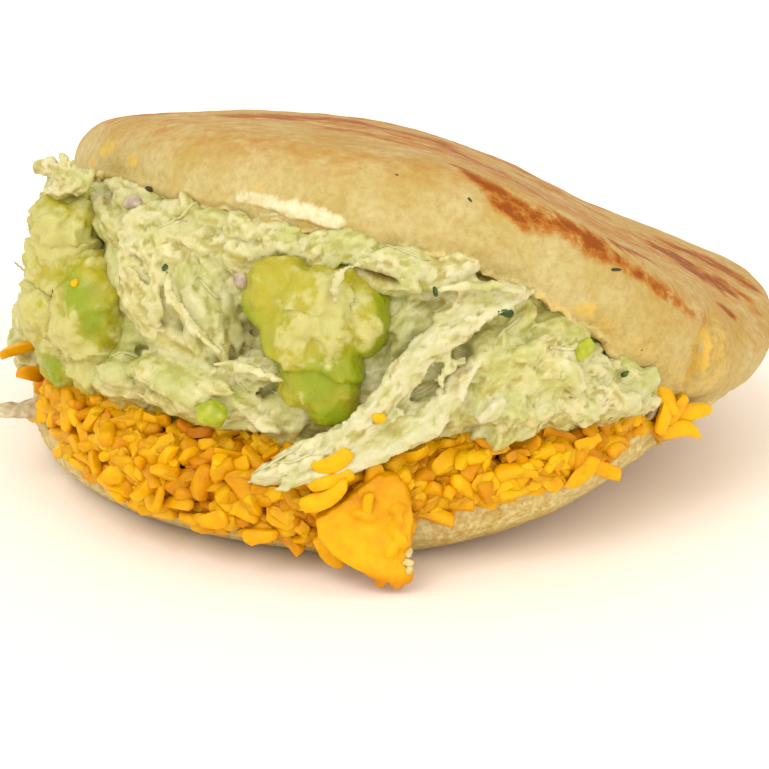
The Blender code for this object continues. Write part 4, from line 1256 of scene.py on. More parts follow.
def fibre_lump(clay, rng, centre, axes, half, pale, green):
    """A lump of shredded chicken: a core wrapped in bands that run with its fibres."""
    along, across, out = axes
    clay.ball(centre, axes, half * 0.88, {"pale": pale * 0.6, "green": green})
    count = int(pi * (half[1] + half[2]) / 2.6)
    for i in range(count):
        turn = 2 * pi * (i + rng.uniform(-0.35, 0.35)) / count
        s = np.linspace(rng.uniform(-1.08, -0.5), rng.uniform(0.5, 1.08), 9)
        turn = turn + rng.normal(0.0, 0.32) * s + 0.14 * np.sin(3.0 * s + rng.uniform(0.0, 6.0))
        hollow = np.sqrt(np.maximum(0.06, 1.0 - 0.82 * s**2)) * rng.uniform(0.93, 1.08)
        swing = across * (half[1] * np.cos(turn))[:, None] + out * (half[2] * np.sin(turn))[:, None]
        path = centre + along * (half[0] * s)[:, None] + swing * hollow[:, None]
        taper = np.sqrt(np.sin(pi * np.linspace(0.06, 0.94, 9)))
        wide = rng.uniform(0.7, 2.0) * taper
        facts = {"pale": np.clip(pale + rng.normal(0.0, 0.25), 0.0, 1.0), "green": max(0.0, green + rng.normal(0.0, 0.12))}
        clay.band(path, wide, np.minimum(0.95, wide * rng.uniform(0.5, 0.75)), swing, facts)


def curd_lump(clay, rng, centre, axes, half, pale, green):
    """A lump of finely torn chicken: a core under small rounded curds."""
    clay.ball(centre, axes, half * 0.86, {"pale": pale * 0.6, "green": green})
    for _ in range(int(half[0] * (half[1] + half[2]) / 2.4)):
        d = unit(rng.standard_normal(3))
        spot = centre + (d * half * rng.uniform(0.78, 0.98)) @ axes
        turn = rng.normal(0.0, 0.6)
        own = np.array((
            axes[0] * np.cos(turn) + axes[1] * np.sin(turn),
            axes[1] * np.cos(turn) - axes[0] * np.sin(turn),
            axes[2],
        ))
        size = rng.uniform(1.0, 2.2) * np.array((rng.uniform(1.1, 1.8), 0.85, 0.8))
        facts = {"pale": np.clip(pale + rng.normal(0.0, 0.3), 0.0, 1.0), "green": max(0.0, green + rng.normal(0.0, 0.12))}
        clay.ball(spot, own, size, facts, sides=10)


def smooth_lump(clay, rng, centre, axes, half, pale, green):
    """A lump coated in smooth cream, with a few broad folds."""
    clay.ball(centre, axes, half * 0.94, {"pale": pale, "green": green})
    for _ in range(5):
        d = unit(rng.standard_normal(3) + np.array((0.0, 0.0, 0.7)))
        spot = centre + (d * half * 0.6) @ axes
        clay.ball(spot, axes, half * rng.uniform(0.4, 0.6), {"pale": pale, "green": max(0.0, green + rng.normal(0.0, 0.15))})


LUMP_KINDS = {"fibre": fibre_lump, "curd": curd_lump, "smooth": smooth_lump}


def add_lump(clay, rng, row):
    angle, height, out, length, width, depth, tilt, kind, pale, green = row
    along, up, outward = mouth_axes(radians(angle))
    c, s = np.cos(radians(tilt)), np.sin(radians(tilt))
    axes = np.array((along * c + up * s, up * c - along * s, outward))
    centre = mouth(radians(angle), height, out)
    LUMP_KINDS[kind](clay, rng, centre, axes, np.array((length, width, depth)), pale, green)


def filler_rows(rng):
    """Rows of lumps behind the ones that are set one by one, so that no gap shows the core."""
    rows = []
    for angle in np.arange(-174.0, -43.0, 8.0):
        for level in (0.1, 0.36, 0.62, 0.88):
            kind = rng.choice(("fibre", "curd", "smooth"), p=(0.3, 0.3, 0.4))
            place = (angle + rng.uniform(-2.5, 2.5), level + rng.uniform(-0.05, 0.05), rng.uniform(-3.4, -1.6))
            open_here = opening(*polar(reach_of_salad(radians(angle) + np.zeros(1))[0], radians(angle)))
            half = (rng.uniform(5.5, 7.5), min(5.0, 0.17 * open_here), 4.4)
            looks = (rng.uniform(0.1, 0.4), max(0.0, rng.uniform(-0.2, 0.35)))
            rows.append((*place, *half, rng.uniform(-50, 50), str(kind), *looks))
    return rows


def add_fan(clay, rng):
    """Long white fibres between the guides, closing up into one hanging tongue."""
    guides = np.array(FAN_GUIDES)
    steps = np.arange(guides.shape[1])
    for i in range(FAN_FIBRES):
        level = 2.0 * (i + rng.uniform(0.0, 1.0)) / FAN_FIBRES
        low = min(1, int(level))
        guide = guides[low] * (1.0 - (level - low)) + guides[low + 1] * (level - low)
        gap = 0.55 < level < 1.42
        start = rng.uniform(3.8, 5.4) if gap else rng.uniform(0.0, 2.2) ** 1.2
        end = rng.uniform(6.2, 8.3)
        place = np.linspace(start, end, 12)
        path = np.stack([np.interp(place, steps, guide[:, n]) for n in range(3)], -1)
        path = path + rng.normal(0.0, 0.3, 3) + 0.28 * np.sin(place * rng.uniform(0.5, 0.9) + rng.uniform(0, 6))[:, None] * UP
        path[:, 1] -= rng.uniform(-1.0, 1.0)
        taper = np.sqrt(np.sin(pi * np.linspace(0.05, 0.95, 12)))
        wide = rng.uniform(0.5, 1.15) * taper
        clay.band(path, wide, np.maximum(0.42 * taper, 0.6 * wide), np.array((0.0, -1.0, 0.3)), {"pale": rng.uniform(0.6, 1.0)})
    tongue = unit(np.array((-0.93, -0.1, -0.36)))
    axes = np.array((tongue, unit(np.cross((0.0, -1.0, 0.0), tongue)), (0.0, -1.0, 0.0)))
    clay.ball(np.array((-8.0, -57.0, 19.4)), axes, (11.5, 3.0, 1.3), {"pale": 0.6})
    clay.ball(np.array((3.0, -56.0, 23.6)), axes, (8.0, 2.8, 1.2), {"pale": 0.6})
    clay.ball(np.array((12.5, -53.6, 39.6)), axes, (6.5, 1.8, 1.2), {"pale": 0.6})


def add_curls(clay):
    for path, width in CURLS:
        path = np.array(path)
        place = np.linspace(0, len(path) - 1, 10)
        path = np.stack([np.interp(place, np.arange(len(path)), path[:, n]) for n in range(3)], -1)
        taper = np.sqrt(np.sin(pi * np.linspace(0.08, 0.92, 10)))
        wide = np.maximum(0.35, width) * taper
        clay.band(path, wide, np.maximum(0.38, 0.7 * width) * taper, np.array((0.2, -1.0, 0.4)), {"pale": 0.6})


def back_lumps(rng, start, stop):
    """Rows of lumps round the part of the mouth between two angles, as high as it is open there."""
    rows = []
    angle = start
    while angle > stop:
        tall = np.linalg.norm(mouth(radians(angle), 1.0, 0.0) - mouth(radians(angle), 0.0, 0.0))
        levels = (0.16, 0.5, 0.84) if tall > 16 else (0.3, 0.75) if tall > 7 else (0.5,)
        for level in levels:
            kind = rng.choice(("fibre", "curd", "smooth"), p=(0.5, 0.25, 0.25))
            width = 0.62 * tall / len(levels) * rng.uniform(0.9, 1.15)
            out = min(1.0, tall / 20) * (2.6 - 0.9 * (level > 0.8)) - 1.0
            half = (rng.uniform(5.5, 8.5), width, min(5.0, 1.5 + 0.2 * tall))
            tilt = rng.uniform(-40, 40)
            place = (angle + rng.uniform(-3, 3), level + rng.uniform(-0.05, 0.05), out + rng.uniform(-0.6, 0.8))
            rows.append((*place, *half, tilt, str(kind), rng.uniform(0.1, 0.5), max(0.0, rng.uniform(-0.3, 0.3))))
        angle -= rng.uniform(9, 12)
    return rows


def depth_in_mouth(where):
    """How far behind the mouth's plain surface each point lies."""
    turns = np.linspace(-pi, pi, 721)
    angle = np.arctan2(where[:, 1], where[:, 0])
    low, high = mouth(turns, 0.0, 0.0), mouth(turns, 1.0, 0.0)
    near_z, far_z = np.interp(angle, turns, low[:, 2]), np.interp(angle, turns, high[:, 2])
    near_reach = np.interp(angle, turns, np.hypot(low[:, 0], low[:, 1]))
    far_reach = np.interp(angle, turns, np.hypot(high[:, 0], high[:, 1]))
    level = np.clip((where[:, 2] - near_z) / np.maximum(far_z - near_z, 0.5), 0.0, 1.0)
    return near_reach + (far_reach - near_reach) * level - np.hypot(where[:, 0], where[:, 1])


# Narrow gaps between the lumps, as paths in mm, dented and darkened with painted shade.
SALAD_CLEFTS = (
    ((-5.6, -50.8, 43.3), (-3.6, -51.8, 43.1), (-1.2, -52.8, 42.8), (0.6, -53.3, 42.3)),
    ((-33.0, -40.5, 24.6), (-27.5, -44.6, 26.4), (-23.0, -47.0, 28.6)),
)
CLEFT_HALF_WIDTH = 0.8
CLEFT_DEPTH = 2.6


def dress_salad(mesh, clay):
    """Fine relief along the fibres, and the colours' facts at each point, with a painted shade fact where the surface
    lies set back or in a cleft. Gives the fibres' directions.
    """
    where, normals = read(mesh, "points"), read(mesh, "normals")
    directions, facts = clay.read_known(where, ("pale", "green"))
    stretched = along_fibres(where + 0.5 * ripples(where, 4.0, 2.0), directions, 5.0)
    crest = 0.6 * ridges(stretched, 2.1, 3.0) + 0.4 * ridges(stretched, 1.1, 9.0)
    folds = ridges(where + 0.8 * ripples(where, 3.0, 6.0), 3.4, 14.0)
    lift = (0.34 + 0.34 * facts["pale"]) * (crest - 0.5) + 0.4 * (folds - 0.5) + 0.3 * ripple(where, 3.4, 5.0) + 0.2 * ripple(where, 1.3, 6.0)
    cleft = np.zeros(len(where))
    for path in SALAD_CLEFTS:
        apart = from_path(where + 0.35 * ripples(where, 2.4), path) / CLEFT_HALF_WIDTH
        cleft = np.maximum(cleft, np.exp(-(apart**2)))
    lift = lift - CLEFT_DEPTH * cleft
    # deep is painted shade: darker the further a point lies behind the mouth's surface, and in the clefts.
    facts["deep"] = np.maximum(soft_step(-0.6, 2.8, depth_in_mouth(where)), soft_step(0.15, 0.7, cleft))
    write_points(mesh, where + normals * lift[:, None])
    facts["relief"] = crest
    write_facts(mesh, facts)
    return directions


def fine_strands(salad, mesh, directions, rng):
    """Thin single fibres that lie on the salad and lift off it at their ends."""
    where, normals = read(mesh, "points"), read(mesh, "normals")
    tree = BVHTree.FromPolygons(where.tolist(), [list(p.vertices) for p in mesh.polygons])
    outward = unit(where * (1.0, 1.0, 0.0))
    shown = np.flatnonzero((np.sum(normals * outward, -1) > 0.35) & (np.hypot(where[:, 0], where[:, 1]) > 48.0))
    strands = Clay()
    for start in rng.choice(shown, salad.strand_count, replace=False):
        spot = where[start]
        heading = unit(directions[start] + 0.28 * rng.standard_normal(3)) * rng.choice((-1.0, 1.0))
        path = []
        for _ in range(rng.integers(5, 13)):
            near, normal, _, _ = tree.find_nearest(spot.tolist())
            near, normal = np.array(near), np.array(normal)
            path.append(near + normal * 0.06)
            heading = unit(heading - normal * np.dot(heading, normal) + 0.06 * rng.standard_normal(3))
            spot = near + heading * 1.05
        path[-1] = path[-1] + normal * rng.uniform(0.0, 0.9)
        path = np.array(path)
        wide = rng.uniform(0.18, 0.32) * np.sqrt(np.sin(pi * np.linspace(0.06, 0.94, len(path))))
        strands.band(path, wide, 0.7 * wide, normal, {}, sides=6, noted=False)
    made = strands.mesh("chicken_strands")
    write_facts(made, {"pale": 0.35, "green": 0.1, "relief": 0.7, "deep": 0.0})
    return made


def build_salad(salad):
    """The chicken salad: a rough core, lumps and fibres pressed together over it, and fine loose strands."""
    rng = np.random.default_rng(23)
    cream = creamy_salad(salad)
    angles, _ = cake_angles(200, 50)
    rings = []
    for share in (0.02, 0.45, 0.8):
        rings.append(cheese_point(*polar(reach_of_salad(angles) * share, angles), SEAT_GAP))
    for level, out in ((0.0, -3.0), (0.15, -2.2), (0.35, -1.8), (0.6, -1.8), (0.85, -2.2), (1.0, -3.0)):
        tall = np.minimum(1.0, opening(*polar(reach_of_salad(angles), angles)) / 22.0)
        rings.append(mouth(angles, level, out * tall))
    for share in (0.8, 0.45, 0.02):
        rings.append(lid_point(*polar(reach_of_salad(angles) * share, angles), -SEAT_GAP))
    heap = Clay()
    heap.add(np.array(rings), cheese_point(0.0, 0.0, SEAT_GAP), lid_point(0.0, 0.0, -SEAT_GAP))
    core = heap.mesh("salad_core")
    weld(core)
    where, normals = read(core, "points"), read(core, "normals")
    write_points(core, where + normals * (0.8 * ripple(where, 4.0) - 0.4)[:, None])
    # The core shows only through the gaps, so it is painted as shade: full gap colour, and mostly hollow colour.
    write_facts(core, {"pale": 0.0, "green": 0.3, "relief": 0.1, "deep": 1.0})
    add_piece("salad_core", core, cream)

    front = Clay()
    for row in (*LUMPS, *filler_rows(rng)):
        add_lump(front, rng, row)
    add_fan(front, rng)
    add_curls(front)
    for centre, half, heading in LEFT_TUFTS:
        along = unit(np.array(heading))
        across = unit(np.cross(UP, along))
        axes = np.array((along, across, np.cross(along, across)))
        fibre_lump(front, rng, np.array(centre), axes, np.array(half), 0.3, 0.1)
    mesh = front.pressed("salad_front", 0.455, 1)
    directions = dress_salad(mesh, front)
    strands = fine_strands(salad, mesh, directions, rng)
    add_piece("salad_front", mesh, cream, ["chicken_salad"])
    add_piece("chicken_strands", strands, cream)

    back = Clay()
    for row in back_lumps(rng, -176.0, np.degrees(HINGE_BACK) - 360.0 + 8.0):
        add_lump(back, rng, row)
    mesh = back.pressed("salad_back", 0.6, 2)
    dress_salad(mesh, back)
    add_piece("salad_back", mesh, cream)


# ---------------------------------------------------------------- the avocado

# Rounded blocks pressed together: centre, half sizes in mm, turn about the view out of the mouth in degrees.
FRONT_BLOCKS = (
    ((-14.4, -48.8, 39.4), (4.8, 4.4, 4.8), 18),
    ((-9.8, -49.4, 38.6), (6.4, 5.6, 5.2), -14),
    ((-3.8, -49.6, 36.6), (4.2, 5.0, 5.2), -8),
    ((-10.2, -50.6, 34.2), (6.6, 5.8, 5.6), -6),
    ((-9.2, -51.4, 28.6), (6.2, 5.6, 5.0), -10),
    ((-7.6, -52.0, 24.8), (4.4, 4.8, 4.0), 10),
)
LEFT_BLOCKS = (
    ((-46.4, -22.0, 41.0), (4.6, 6.0, 5.0), 6),
    ((-46.6, -21.0, 36.0), (5.4, 8.0, 7.0), 10),
    ((-47.4, -20.4, 27.0), (5.6, 8.4, 8.0), -4),
    ((-42.4, -28.4, 30.0), (5.0, 6.6, 8.4), 8),
    ((-46.4, -22.0, 20.4), (5.0, 7.0, 5.2), 0),
    ((-41.8, -29.6, 22.6), (4.4, 5.4, 5.6), 6),
)
# Where cream clings, and where the flesh is greener: x, y, z and radius in mm.
FRONT_CREAM = (
    (-7.0, -54.6, 40.0, 4.2), (-12.0, -55.4, 36.0, 3.4), (-4.0, -54.4, 41.0, 3.0), (-7.6, -56.0, 34.8, 3.4),
    (-2.2, -55.0, 36.0, 2.6), (-12.6, -56.0, 32.6, 2.2), (-8.0, -56.4, 31.4, 2.2), (-6.4, -56.6, 26.6, 1.8),
    (-12.0, -56.0, 26.8, 1.4),
)
FRONT_GREEN = (
    (0.6, -52.6, 39.0, 3.0), (0.2, -53.6, 34.0, 2.8), (-4.2, -55.2, 30.4, 3.4), (-9.6, -57.0, 29.0, 4.2),
    (-14.4, -54.6, 30.4, 2.6), (-18.8, -50.6, 36.0, 3.4), (-15.6, -53.4, 34.2, 2.2), (-8.0, -57.0, 24.0, 3.6),
)
LEFT_CREAM = (
    (-46.8, -27.6, 41.0, 3.4), (-50.6, -22.6, 29.0, 4.6), (-45.4, -31.4, 28.6, 4.0), (-46.6, -29.4, 24.2, 4.0),
    (-50.0, -23.8, 39.0, 3.0), (-42.2, -34.0, 24.4, 3.4),
)
LEFT_GREEN = (
    (-51.6, -20.1, 38.0, 2.4), (-45.4, -32.4, 37.2, 1.8), (-45.4, -31.6, 35.0, 2.0), (-43.4, -34.6, 33.0, 2.4),
    (-42.2, -36.2, 31.0, 2.8), (-44.4, -33.6, 34.6, 2.6), (-40.6, -37.4, 29.0, 1.8), (-53.4, -15.0, 35.0, 3.0), (-48.4, -27.0, 20.6, 2.6),
)


def near_spots(where, spots):
    """Fades from 1 in the middle of a few spots, with uneven outlines."""
    uneven = where + 1.2 * ripples(where, 3.0, 4.0)
    most = np.zeros(len(where))
    for x, y, z, radius in spots:
        distance = np.linalg.norm(uneven - np.array((x, y, z)), axis=-1)
        most = np.maximum(most, np.exp(-((distance / radius) ** 2)))
    return most


def press_avocado(name, blocks, square, seed, ledge):
    """Blocks of flesh pressed together, with soft facets and dents, and a ledge at one height."""
    clay = Clay()
    for centre, half, turn in blocks:
        c, s = np.cos(radians(turn)), np.sin(radians(turn))
        axes = np.array(((0.0, 0.0, 1.0), (c, s, 0.0), (s, -c, 0.0)))
        width, depth, height = half
        turns = 2 * pi * np.arange(20) / 20
        polls = np.linspace(0, pi, 11)[1:-1, None]
        bent = [np.sign(f(v)) * np.abs(f(v)) ** square for f in (np.cos, np.sin) for v in (turns, polls)]
        cos_turn, cos_poll, sin_turn, sin_poll = bent
        rim = axes[1] * (width * cos_turn)[:, None] + axes[2] * (depth * sin_turn)[:, None]
        rings = np.array(centre) - axes[0] * height * cos_poll[..., None] + rim * sin_poll[..., None]
        clay.add(rings, np.array(centre) - axes[0] * height, np.array(centre) + axes[0] * height)
    mesh = clay.pressed(name, 0.4, 2)
    where, normals = read(mesh, "points"), read(mesh, "normals")
    lift = 0.6 * ripple(where, 5.0, seed) + 0.35 * ripple(where, 2.4, seed + 2.0) + 0.15 * ripple(where, 1.0, seed)
    shelf = soft_step(-0.22, 0.22, where[:, 2] - ledge + 0.25 * where[:, 0] - 1.3 * ripple(where, 4.0, seed))
    where = where + normals * (lift + 1.0 * shelf - 0.6)[:, None]
    write_points(mesh, where)
    return mesh, where


def add_avocado(name, blocks, square, seed, ledge, spots, coated, material, node):
    """A lump of avocado: its spots of cream and of green, and how coated it is all over."""
    mesh, where = press_avocado(name, blocks, square, seed, ledge)
    rind = near_spots(where, spots[1])
    slanted = where + 0.6 * np.array((1.0, 1.0, 0.0)) * where[:, 2:]
    streaks = ripple(slanted * np.array((1.0, 1.0, 0.3)), 2.4, seed)
    cream = np.clip(coated + 0.55 * near_spots(where, spots[0]) - 0.4 * rind + 0.3 * streaks, 0.0, 1.0)
    normals = read(mesh, "normals")
    lumpy = 0.9 * ridges(where + 0.6 * ripples(where, 2.0), 2.8, seed) + 0.4 * ripple(where, 1.2, seed)
    folds = 0.3 * soft_step(0.25, 0.6, cream) + 0.3 * streaks + lumpy * np.minimum(1.0, 1.6 * cream)
    write_points(mesh, where + normals * folds[:, None])
    write_facts(mesh, {"cream": cream, "rind": 0.9 * rind})
    add_piece(name, mesh, material, [node])


def build_avocado(avocado):
    """Both lumps of avocado that show in the mouth."""
    flesh = ripe_avocado(avocado)
    spots = (FRONT_CREAM, FRONT_GREEN)
    add_avocado("avocado_front_chunk", FRONT_BLOCKS, 0.72, 3.0, 28.2, spots, 0.12, flesh, "avocado_front")
    spots = (LEFT_CREAM, LEFT_GREEN)
    add_avocado("avocado_left_chunk", LEFT_BLOCKS, 0.9, 8.0, 14.0, spots, 0.32, flesh, "avocado_left")


# ---------------------------------------------------------------- garnish

# Where each small bit clings, and its half length, width and thickness in mm.
ONION_BITS = (
    ((-35.8, -32.6, 47.3), (1.7, 1.1, 0.8)),
    ((-23.0, -50.5, 41.5), (1.5, 1.2, 0.7)),
    ((39.0, -40.2, 16.0), (1.9, 0.8, 0.7)),
    ((-8.0, 47.0, 24.0), (1.6, 1.2, 0.9)),
    ((-44.0, 30.0, 28.0), (1.5, 1.2, 0.8)),
)
GREEN_BITS = (
    ((-24.1, -53.3, 23.7), (2.2, 1.9, 1.6)),
    ((27.0, -49.6, 31.4), (1.6, 1.1, 1.0)),
    ((-28.5, 44.0, 22.0), (2.0, 1.8, 1.4)),
)
HERB_FLECKS = (
    ((16.6, -55.4, 37.6), (1.3, 0.7, 0.25)),
    ((4.6, -56.8, 44.6), (0.9, 0.5, 0.2)),
    ((-34.2, -45.8, 45.0), (0.7, 0.5, 0.2)),
    ((-49.6, -24.0, 44.0), (0.8, 0.4, 0.2)),
    ((-49.0, 20.0, 31.0), (1.0, 0.5, 0.2)),
    ((33.6, -45.6, 26.4), (0.6, 0.4, 0.2)),
)
CHEESE_CRUMBS = (
    ((-1.1, -59.0, 25.4), (1.0, 0.8, 0.6)),
    ((-44.6, -34.2, 36.6), (0.6, 0.5, 0.4)),
)
BREAD_CRUMBS = (
    ((4.1, -62.4, 5.0), (0.8, 0.6, 0.6)),
    ((4.5, -61.9, 6.2), (0.8, 0.6, 0.5)),
    ((3.4, -62.6, 4.2), (0.6, 0.5, 0.5)),
    ((-25.5, -52.4, 2.6), (0.8, 0.7, 0.6)),
    ((-24.0, -53.0, 3.0), (0.6, 0.5, 0.5)),
    ((-45.4, -17.0, 46.6), (1.0, 0.8, 0.7)),
    ((-44.0, -20.0, 47.4), (0.8, 0.7, 0.6)),
)
CHARRED_FLECKS = (
    ((31.8, -44.5, 41.5), (1.0, 0.22, 0.15)),
    ((-33.4, -30.2, 49.0), (0.9, 0.5, 0.4)),
    ((-26.6, -36.4, 47.6), (0.7, 0.6, 0.5)),
    ((11.4, -48.0, 52.6), (0.4, 0.2, 0.1)),
)


def built_surface(*names):
    """The joined surface of pieces that are already in the scene."""
    where, faces = [], []
    for name in names:
        obj = bpy.data.objects.get(name)
        if obj is None:
            raise RuntimeError(f"{name} has to be built first")
        first = len(where)
        where += read(obj.data, "points").tolist()
        faces += [[i + first for i in p.vertices] for p in obj.data.polygons]
    return BVHTree.FromPolygons(where, faces)


def add_bits(name, rows, rough, material, surface, facts=()):
    """Small uneven bits that cling to a surface, one mesh for all of a kind."""
    clay = Clay()
    for n, (place, half) in enumerate(rows):
        near, normal, _, _ = surface.find_nearest(place)
        near, normal = np.array(near), np.array(normal)
        turn = 2.4 * n
        along = unit(np.cross(normal, (np.sin(turn), 0.3, np.cos(turn))))
        axes = np.array((along, np.cross(normal, along), normal))
        clay.ball(near + 0.35 * half[2] * normal, axes, half, {}, sides=24)
    mesh = clay.mesh(name)
    weld(mesh)
    where, normals = read(mesh, "points"), read(mesh, "normals")
    lift = rough * (ripple(where, 1.3, 3.0) + 0.6 * ripple(where, 0.6, 5.0))
    write_points(mesh, where + normals * lift[:, None])
    write_facts(mesh, dict(facts))
    add_piece(name, mesh, material)


def build_garnish(garnish, cheese, cake):
    """Bits of red onion, green bits, herb flecks and crumbs that cling to the filling and the bread."""
    onion = moist_bit("red_onion", garnish.onion_colour, garnish.onion_deep_colour, 0.35)
    green = moist_bit("green_pea_flesh", garnish.green_colour, garnish.green_deep_colour, 0.28)
    herb = moist_bit("chopped_coriander", garnish.herb_colour, garnish.herb_deep_colour, 0.45)
    char = moist_bit("charred_crust", cake.speck_colour, garnish.herb_deep_colour, 0.6)
    bread = bpy.data.materials.get("griddled_dough") or griddled_dough(cake)
    waxy = bpy.data.materials.get("grated_cheddar") or cheddar(cheese)
    filling = built_surface("salad_front", "salad_back", "avocado_front_chunk", "avocado_left_chunk")
    edge = built_surface("corn_cake_bread", "cheese_slab_slice")
    add_bits("onion_bits", ONION_BITS, 0.3, onion, filling)
    add_bits("green_bits", GREEN_BITS, 0.45, green, filling)
    add_bits("herb_flecks", HERB_FLECKS, 0.4, herb, filling)
    add_bits("cheese_crumbs", CHEESE_CRUMBS, 0.25, waxy, filling, {"shade": 0.0})
    facts = {"toast": 0.0, "griddle": 0.0, "crumb": 1.0, "oil": 0.2, "butter": 0.0}
    add_bits("bread_crumbs", BREAD_CRUMBS, 0.35, bread, edge, facts)
    add_bits("charred_flecks", CHARRED_FLECKS, 0.06, char, edge)


# ---------------------------------------------------------------- the stage

CAMERA_TARGET = (-0.2, 0.0, 7.9)
CAMERA_DISTANCE = 480.0
CAMERA_ELEVATION = radians(20.5)
CAMERA_LENS = 144.0


def build_stage(stage):
    """A plain white card, soft light from above and in front, and the camera."""
    scene = bpy.context.scene
    half = 3.0
    floor = bpy.data.meshes.new("floor")
    floor.from_pydata([(-half, -half, 0), (half, -half, 0), (half, half, 0), (-half, half, 0)], [], [(0, 1, 2, 3)])
    floor.materials.append(white_card(stage))
    card = bpy.data.objects.new("floor", floor)
    scene.collection.objects.link(card)

    world = bpy.data.worlds.new("soft_sky")
    world.use_nodes = True
    sky = world.node_tree.nodes["Background"]
    sky.inputs["Color"].default_value = (*stage.sky_colour, 1.0)
    sky.inputs["Strength"].default_value = stage.sky_strength
    scene.world = world

    for name, strength, spread, aim in (
        ("key", stage.key_strength, 38.0, (-0.42, -0.62, 0.9)),
        ("fill", stage.fill_strength, 60.0, (0.4, -1.0, 0.35)),
    ):
        sun = bpy.data.lights.new(name, "SUN")
        sun.energy = strength
        sun.angle = radians(spread)
        lamp = bpy.data.objects.new(name, sun)
        lamp.rotation_mode = "QUATERNION"
        lamp.rotation_quaternion = Vector(aim).to_track_quat("Z", "Y")
        scene.collection.objects.link(lamp)

    lens = bpy.data.cameras.new("camera")
    lens.lens = CAMERA_LENS
    lens.sensor_width = 36.0
    lens.clip_start = 0.01
    lens.clip_end = 20.0
    eye = bpy.data.objects.new("camera", lens)
    back = np.array((0.0, -np.cos(CAMERA_ELEVATION), np.sin(CAMERA_ELEVATION)))
    eye.location = (np.array(CAMERA_TARGET) + back * CAMERA_DISTANCE) * MM
    eye.rotation_euler = (pi / 2 - CAMERA_ELEVATION, 0.0, 0.0)
    scene.collection.objects.link(eye)
    scene.camera = eye
    scene.view_settings.view_transform = "Standard"
    scene.view_settings.look = "None"


# ---------------------------------------------------------------- settings, operators and panel


def colour(name, description, code):
    return FloatVectorProperty(name=name, description=description, subtype="COLOR", size=3, min=0.0, max=1.0, default=linear(code))


class CornCakeSettings(PropertyGroup):
    side_colour: colour("Side", "Pale gold of the cake's side", "c3b47b")
    side_deep_colour: colour("Side, deeper", "Deeper clouds on the side", "b69e58")
    pore_colour: colour("Pores", "Fine grain of the dough", "a48743")
    top_colour: colour("Toasted faces", "Golden faces of the crust", "b0803a")
    brown_colour: colour("Brown patches", "Where the crust lay on the griddle", "aa6a24")
    dark_colour: colour("Darkest patches", "Where it browned the most", "884412")
    crumb_colour: colour("Crumb", "Torn edges and the pocket's walls", "d3c68c")
    crumb_deep_colour: colour("Crumb, deeper", "Hollows of the crumb", "c09436")
    # Cream smears, partly a painted highlight on the wet patch.
    oil_colour: colour("Cream smears", "Cream smeared on the crust", "e4dcb6")
    # Cheese stains, also used as warm painted shade in the crease and on the lid's lower lip.
    butter_colour: colour("Yellow smears", "Bits of cheese pressed on the crust", "d4b050")
    speck_colour: colour("Specks", "Scorched specks", "4a2a14")
    torn_colour: colour("Torn flap", "Drier torn dough", "cfc4a0")
    torn_deep_colour: colour("Torn flap, deeper", "Its hollows", "a89a72")


class CheeseSettings(PropertyGroup):
    light_colour: colour("Light", "Freshly torn faces", "e6b004")
    # The cheese's deeper tone, also used as painted shade deep in the heap.
    deep_colour: colour("Deep", "Faces deep in the heap", "bc7000")
    shred_count: IntProperty(name="Shreds", description="Shreds laid over the heap", default=1380, min=1, max=2000)
    shred_size: FloatProperty(name="Shred size", description="Share of their true size", default=1.0, subtype="FACTOR")


class SaladSettings(PropertyGroup):
    cream_colour: colour("Cream", "Mayonnaise and avocado coating", "d8cf96")
    avocado_cream_colour: colour("Avocado cream", "Greener parts of the coating", "beb970")
    green_colour: colour("Mashed avocado", "Where avocado is thick", "a8ad50")
    # Painted shade in the hollows between the fibre crests.
    hollow_colour: colour("Hollows", "Between the fibres", "a08c34")
    # Painted shade for the gaps between the lumps and the set-back salad.
    gap_colour: colour("Gaps", "Deep between the lumps", "8a6e14")
    # The chicken's pale fibres, also used as a painted highlight on the crests.
    fibre_colour: colour("Fibres", "Bare fibres of chicken", "d1cbad")
    strand_count: IntProperty(name="Loose strands", description="Fine fibres on the salad", default=34, min=1, max=800)


class AvocadoSettings(PropertyGroup):
    flesh_colour: colour("Flesh", "Yellow flesh near the stone", "aca226")
    rind_colour: colour("Rind side", "Green flesh under the skin", "8a980c")
    cream_colour: colour("Cream", "Cream that clings to it", "beb96e")


class GarnishSettings(PropertyGroup):
    onion_colour: colour("Onion", "Pale purple of red onion", "b7a88c")
    onion_deep_colour: colour("Onion, deeper", "Its outer skin", "96806e")
    green_colour: colour("Green bits", "Bright green bits", "b0b230")
    green_deep_colour: colour("Green bits, deeper", "Their shaded side", "94a11c")
    herb_colour: colour("Herb", "Chopped leaf", "4c6a24")
    herb_deep_colour: colour("Herb, deeper", "Its darker face", "24401a")


class StageSettings(PropertyGroup):
    floor_colour: colour("Card", "White card", "fff5ea")
    floor_deep_colour: colour("Card, deeper", "Faint clouds in it", "fdf2e6")
    sky_colour: colour("Sky", "Soft light from all round", "fffaf4")
    sky_strength: FloatProperty(name="Sky strength", description="Soft light from all round", default=1.1, min=0.0)
    key_strength: FloatProperty(name="Key", description="Light from above on the left", default=0.92, min=0.0)
    fill_strength: FloatProperty(name="Fill", description="Light from the right", default=0.84, min=0.0)


class AREPA_OT_stage(Operator):
    """Build the white card, the lights and the camera"""

    bl_idname = "arepa.stage"
    bl_label = "Stage"

    def execute(self, context):
        build_stage(context.scene.arepa_stage)
        return {"FINISHED"}


class AREPA_OT_corn_cake(Operator):
    """Build the griddled corn cake"""

    bl_idname = "arepa.corn_cake"
    bl_label = "Corn cake"

    def execute(self, context):
        build_corn_cake(context.scene.arepa_cake)
        return {"FINISHED"}


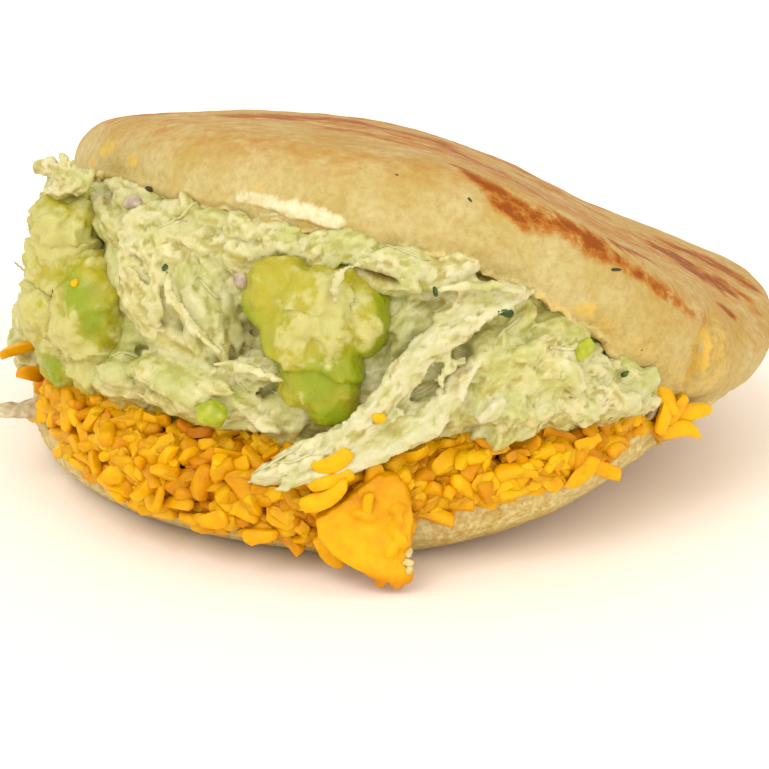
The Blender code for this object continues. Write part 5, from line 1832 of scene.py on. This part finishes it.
class AREPA_OT_cheese_bed(Operator):
    """Build the heap of grated cheese"""

    bl_idname = "arepa.cheese_bed"
    bl_label = "Grated cheese"

    def execute(self, context):
        build_cheese_bed(context.scene.arepa_cheese)
        return {"FINISHED"}


class AREPA_OT_cheese_slab(Operator):
    """Build the broad slice of cheese on the rim"""

    bl_idname = "arepa.cheese_slab"
    bl_label = "Cheese slice"

    def execute(self, context):
        build_slab(context.scene.arepa_cheese)
        return {"FINISHED"}


class AREPA_OT_salad(Operator):
    """Build the chicken salad and its fibres"""

    bl_idname = "arepa.salad"
    bl_label = "Chicken salad"

    def execute(self, context):
        build_salad(context.scene.arepa_salad)
        return {"FINISHED"}


class AREPA_OT_avocado(Operator):
    """Build both lumps of avocado"""

    bl_idname = "arepa.avocado"
    bl_label = "Avocado"

    def execute(self, context):
        build_avocado(context.scene.arepa_avocado)
        return {"FINISHED"}


class AREPA_OT_garnish(Operator):
    """Build the onion, herbs and crumbs"""

    bl_idname = "arepa.garnish"
    bl_label = "Garnish"

    def execute(self, context):
        scene = context.scene
        build_garnish(scene.arepa_garnish, scene.arepa_cheese, scene.arepa_cake)
        return {"FINISHED"}


SETTINGS = {
    "arepa_cake": CornCakeSettings,
    "arepa_cheese": CheeseSettings,
    "arepa_salad": SaladSettings,
    "arepa_avocado": AvocadoSettings,
    "arepa_garnish": GarnishSettings,
    "arepa_stage": StageSettings,
}
OPERATORS = (
    AREPA_OT_stage,
    AREPA_OT_corn_cake,
    AREPA_OT_cheese_bed,
    AREPA_OT_cheese_slab,
    AREPA_OT_salad,
    AREPA_OT_avocado,
    AREPA_OT_garnish,
)


class AREPA_PT_pieces(Panel):
    """Lists the pieces and their settings"""

    bl_label = "Stuffed arepa"
    bl_space_type = "VIEW_3D"
    bl_region_type = "UI"
    bl_category = "Arepa"

    def draw(self, context):
        for operator in OPERATORS:
            self.layout.operator(operator.bl_idname)
        for key, group in SETTINGS.items():
            box = self.layout.box()
            settings = getattr(context.scene, key)
            for name in group.__annotations__:
                box.prop(settings, name)


def register():
    for group in SETTINGS.values():
        bpy.utils.register_class(group)
    for key, group in SETTINGS.items():
        setattr(bpy.types.Scene, key, PointerProperty(type=group))
    for shown in (*OPERATORS, AREPA_PT_pieces):
        bpy.utils.register_class(shown)


def unregister():
    for shown in reversed((*OPERATORS, AREPA_PT_pieces)):
        bpy.utils.unregister_class(shown)
    for key in SETTINGS:
        delattr(bpy.types.Scene, key)
    for group in reversed(list(SETTINGS.values())):
        bpy.utils.unregister_class(group)


def main():
    register()
    bpy.ops.arepa.stage()
    bpy.ops.arepa.corn_cake()
    bpy.ops.arepa.cheese_bed()
    bpy.ops.arepa.cheese_slab()
    bpy.ops.arepa.salad()
    bpy.ops.arepa.avocado()
    bpy.ops.arepa.garnish()


if __name__ == "__main__":
    main()
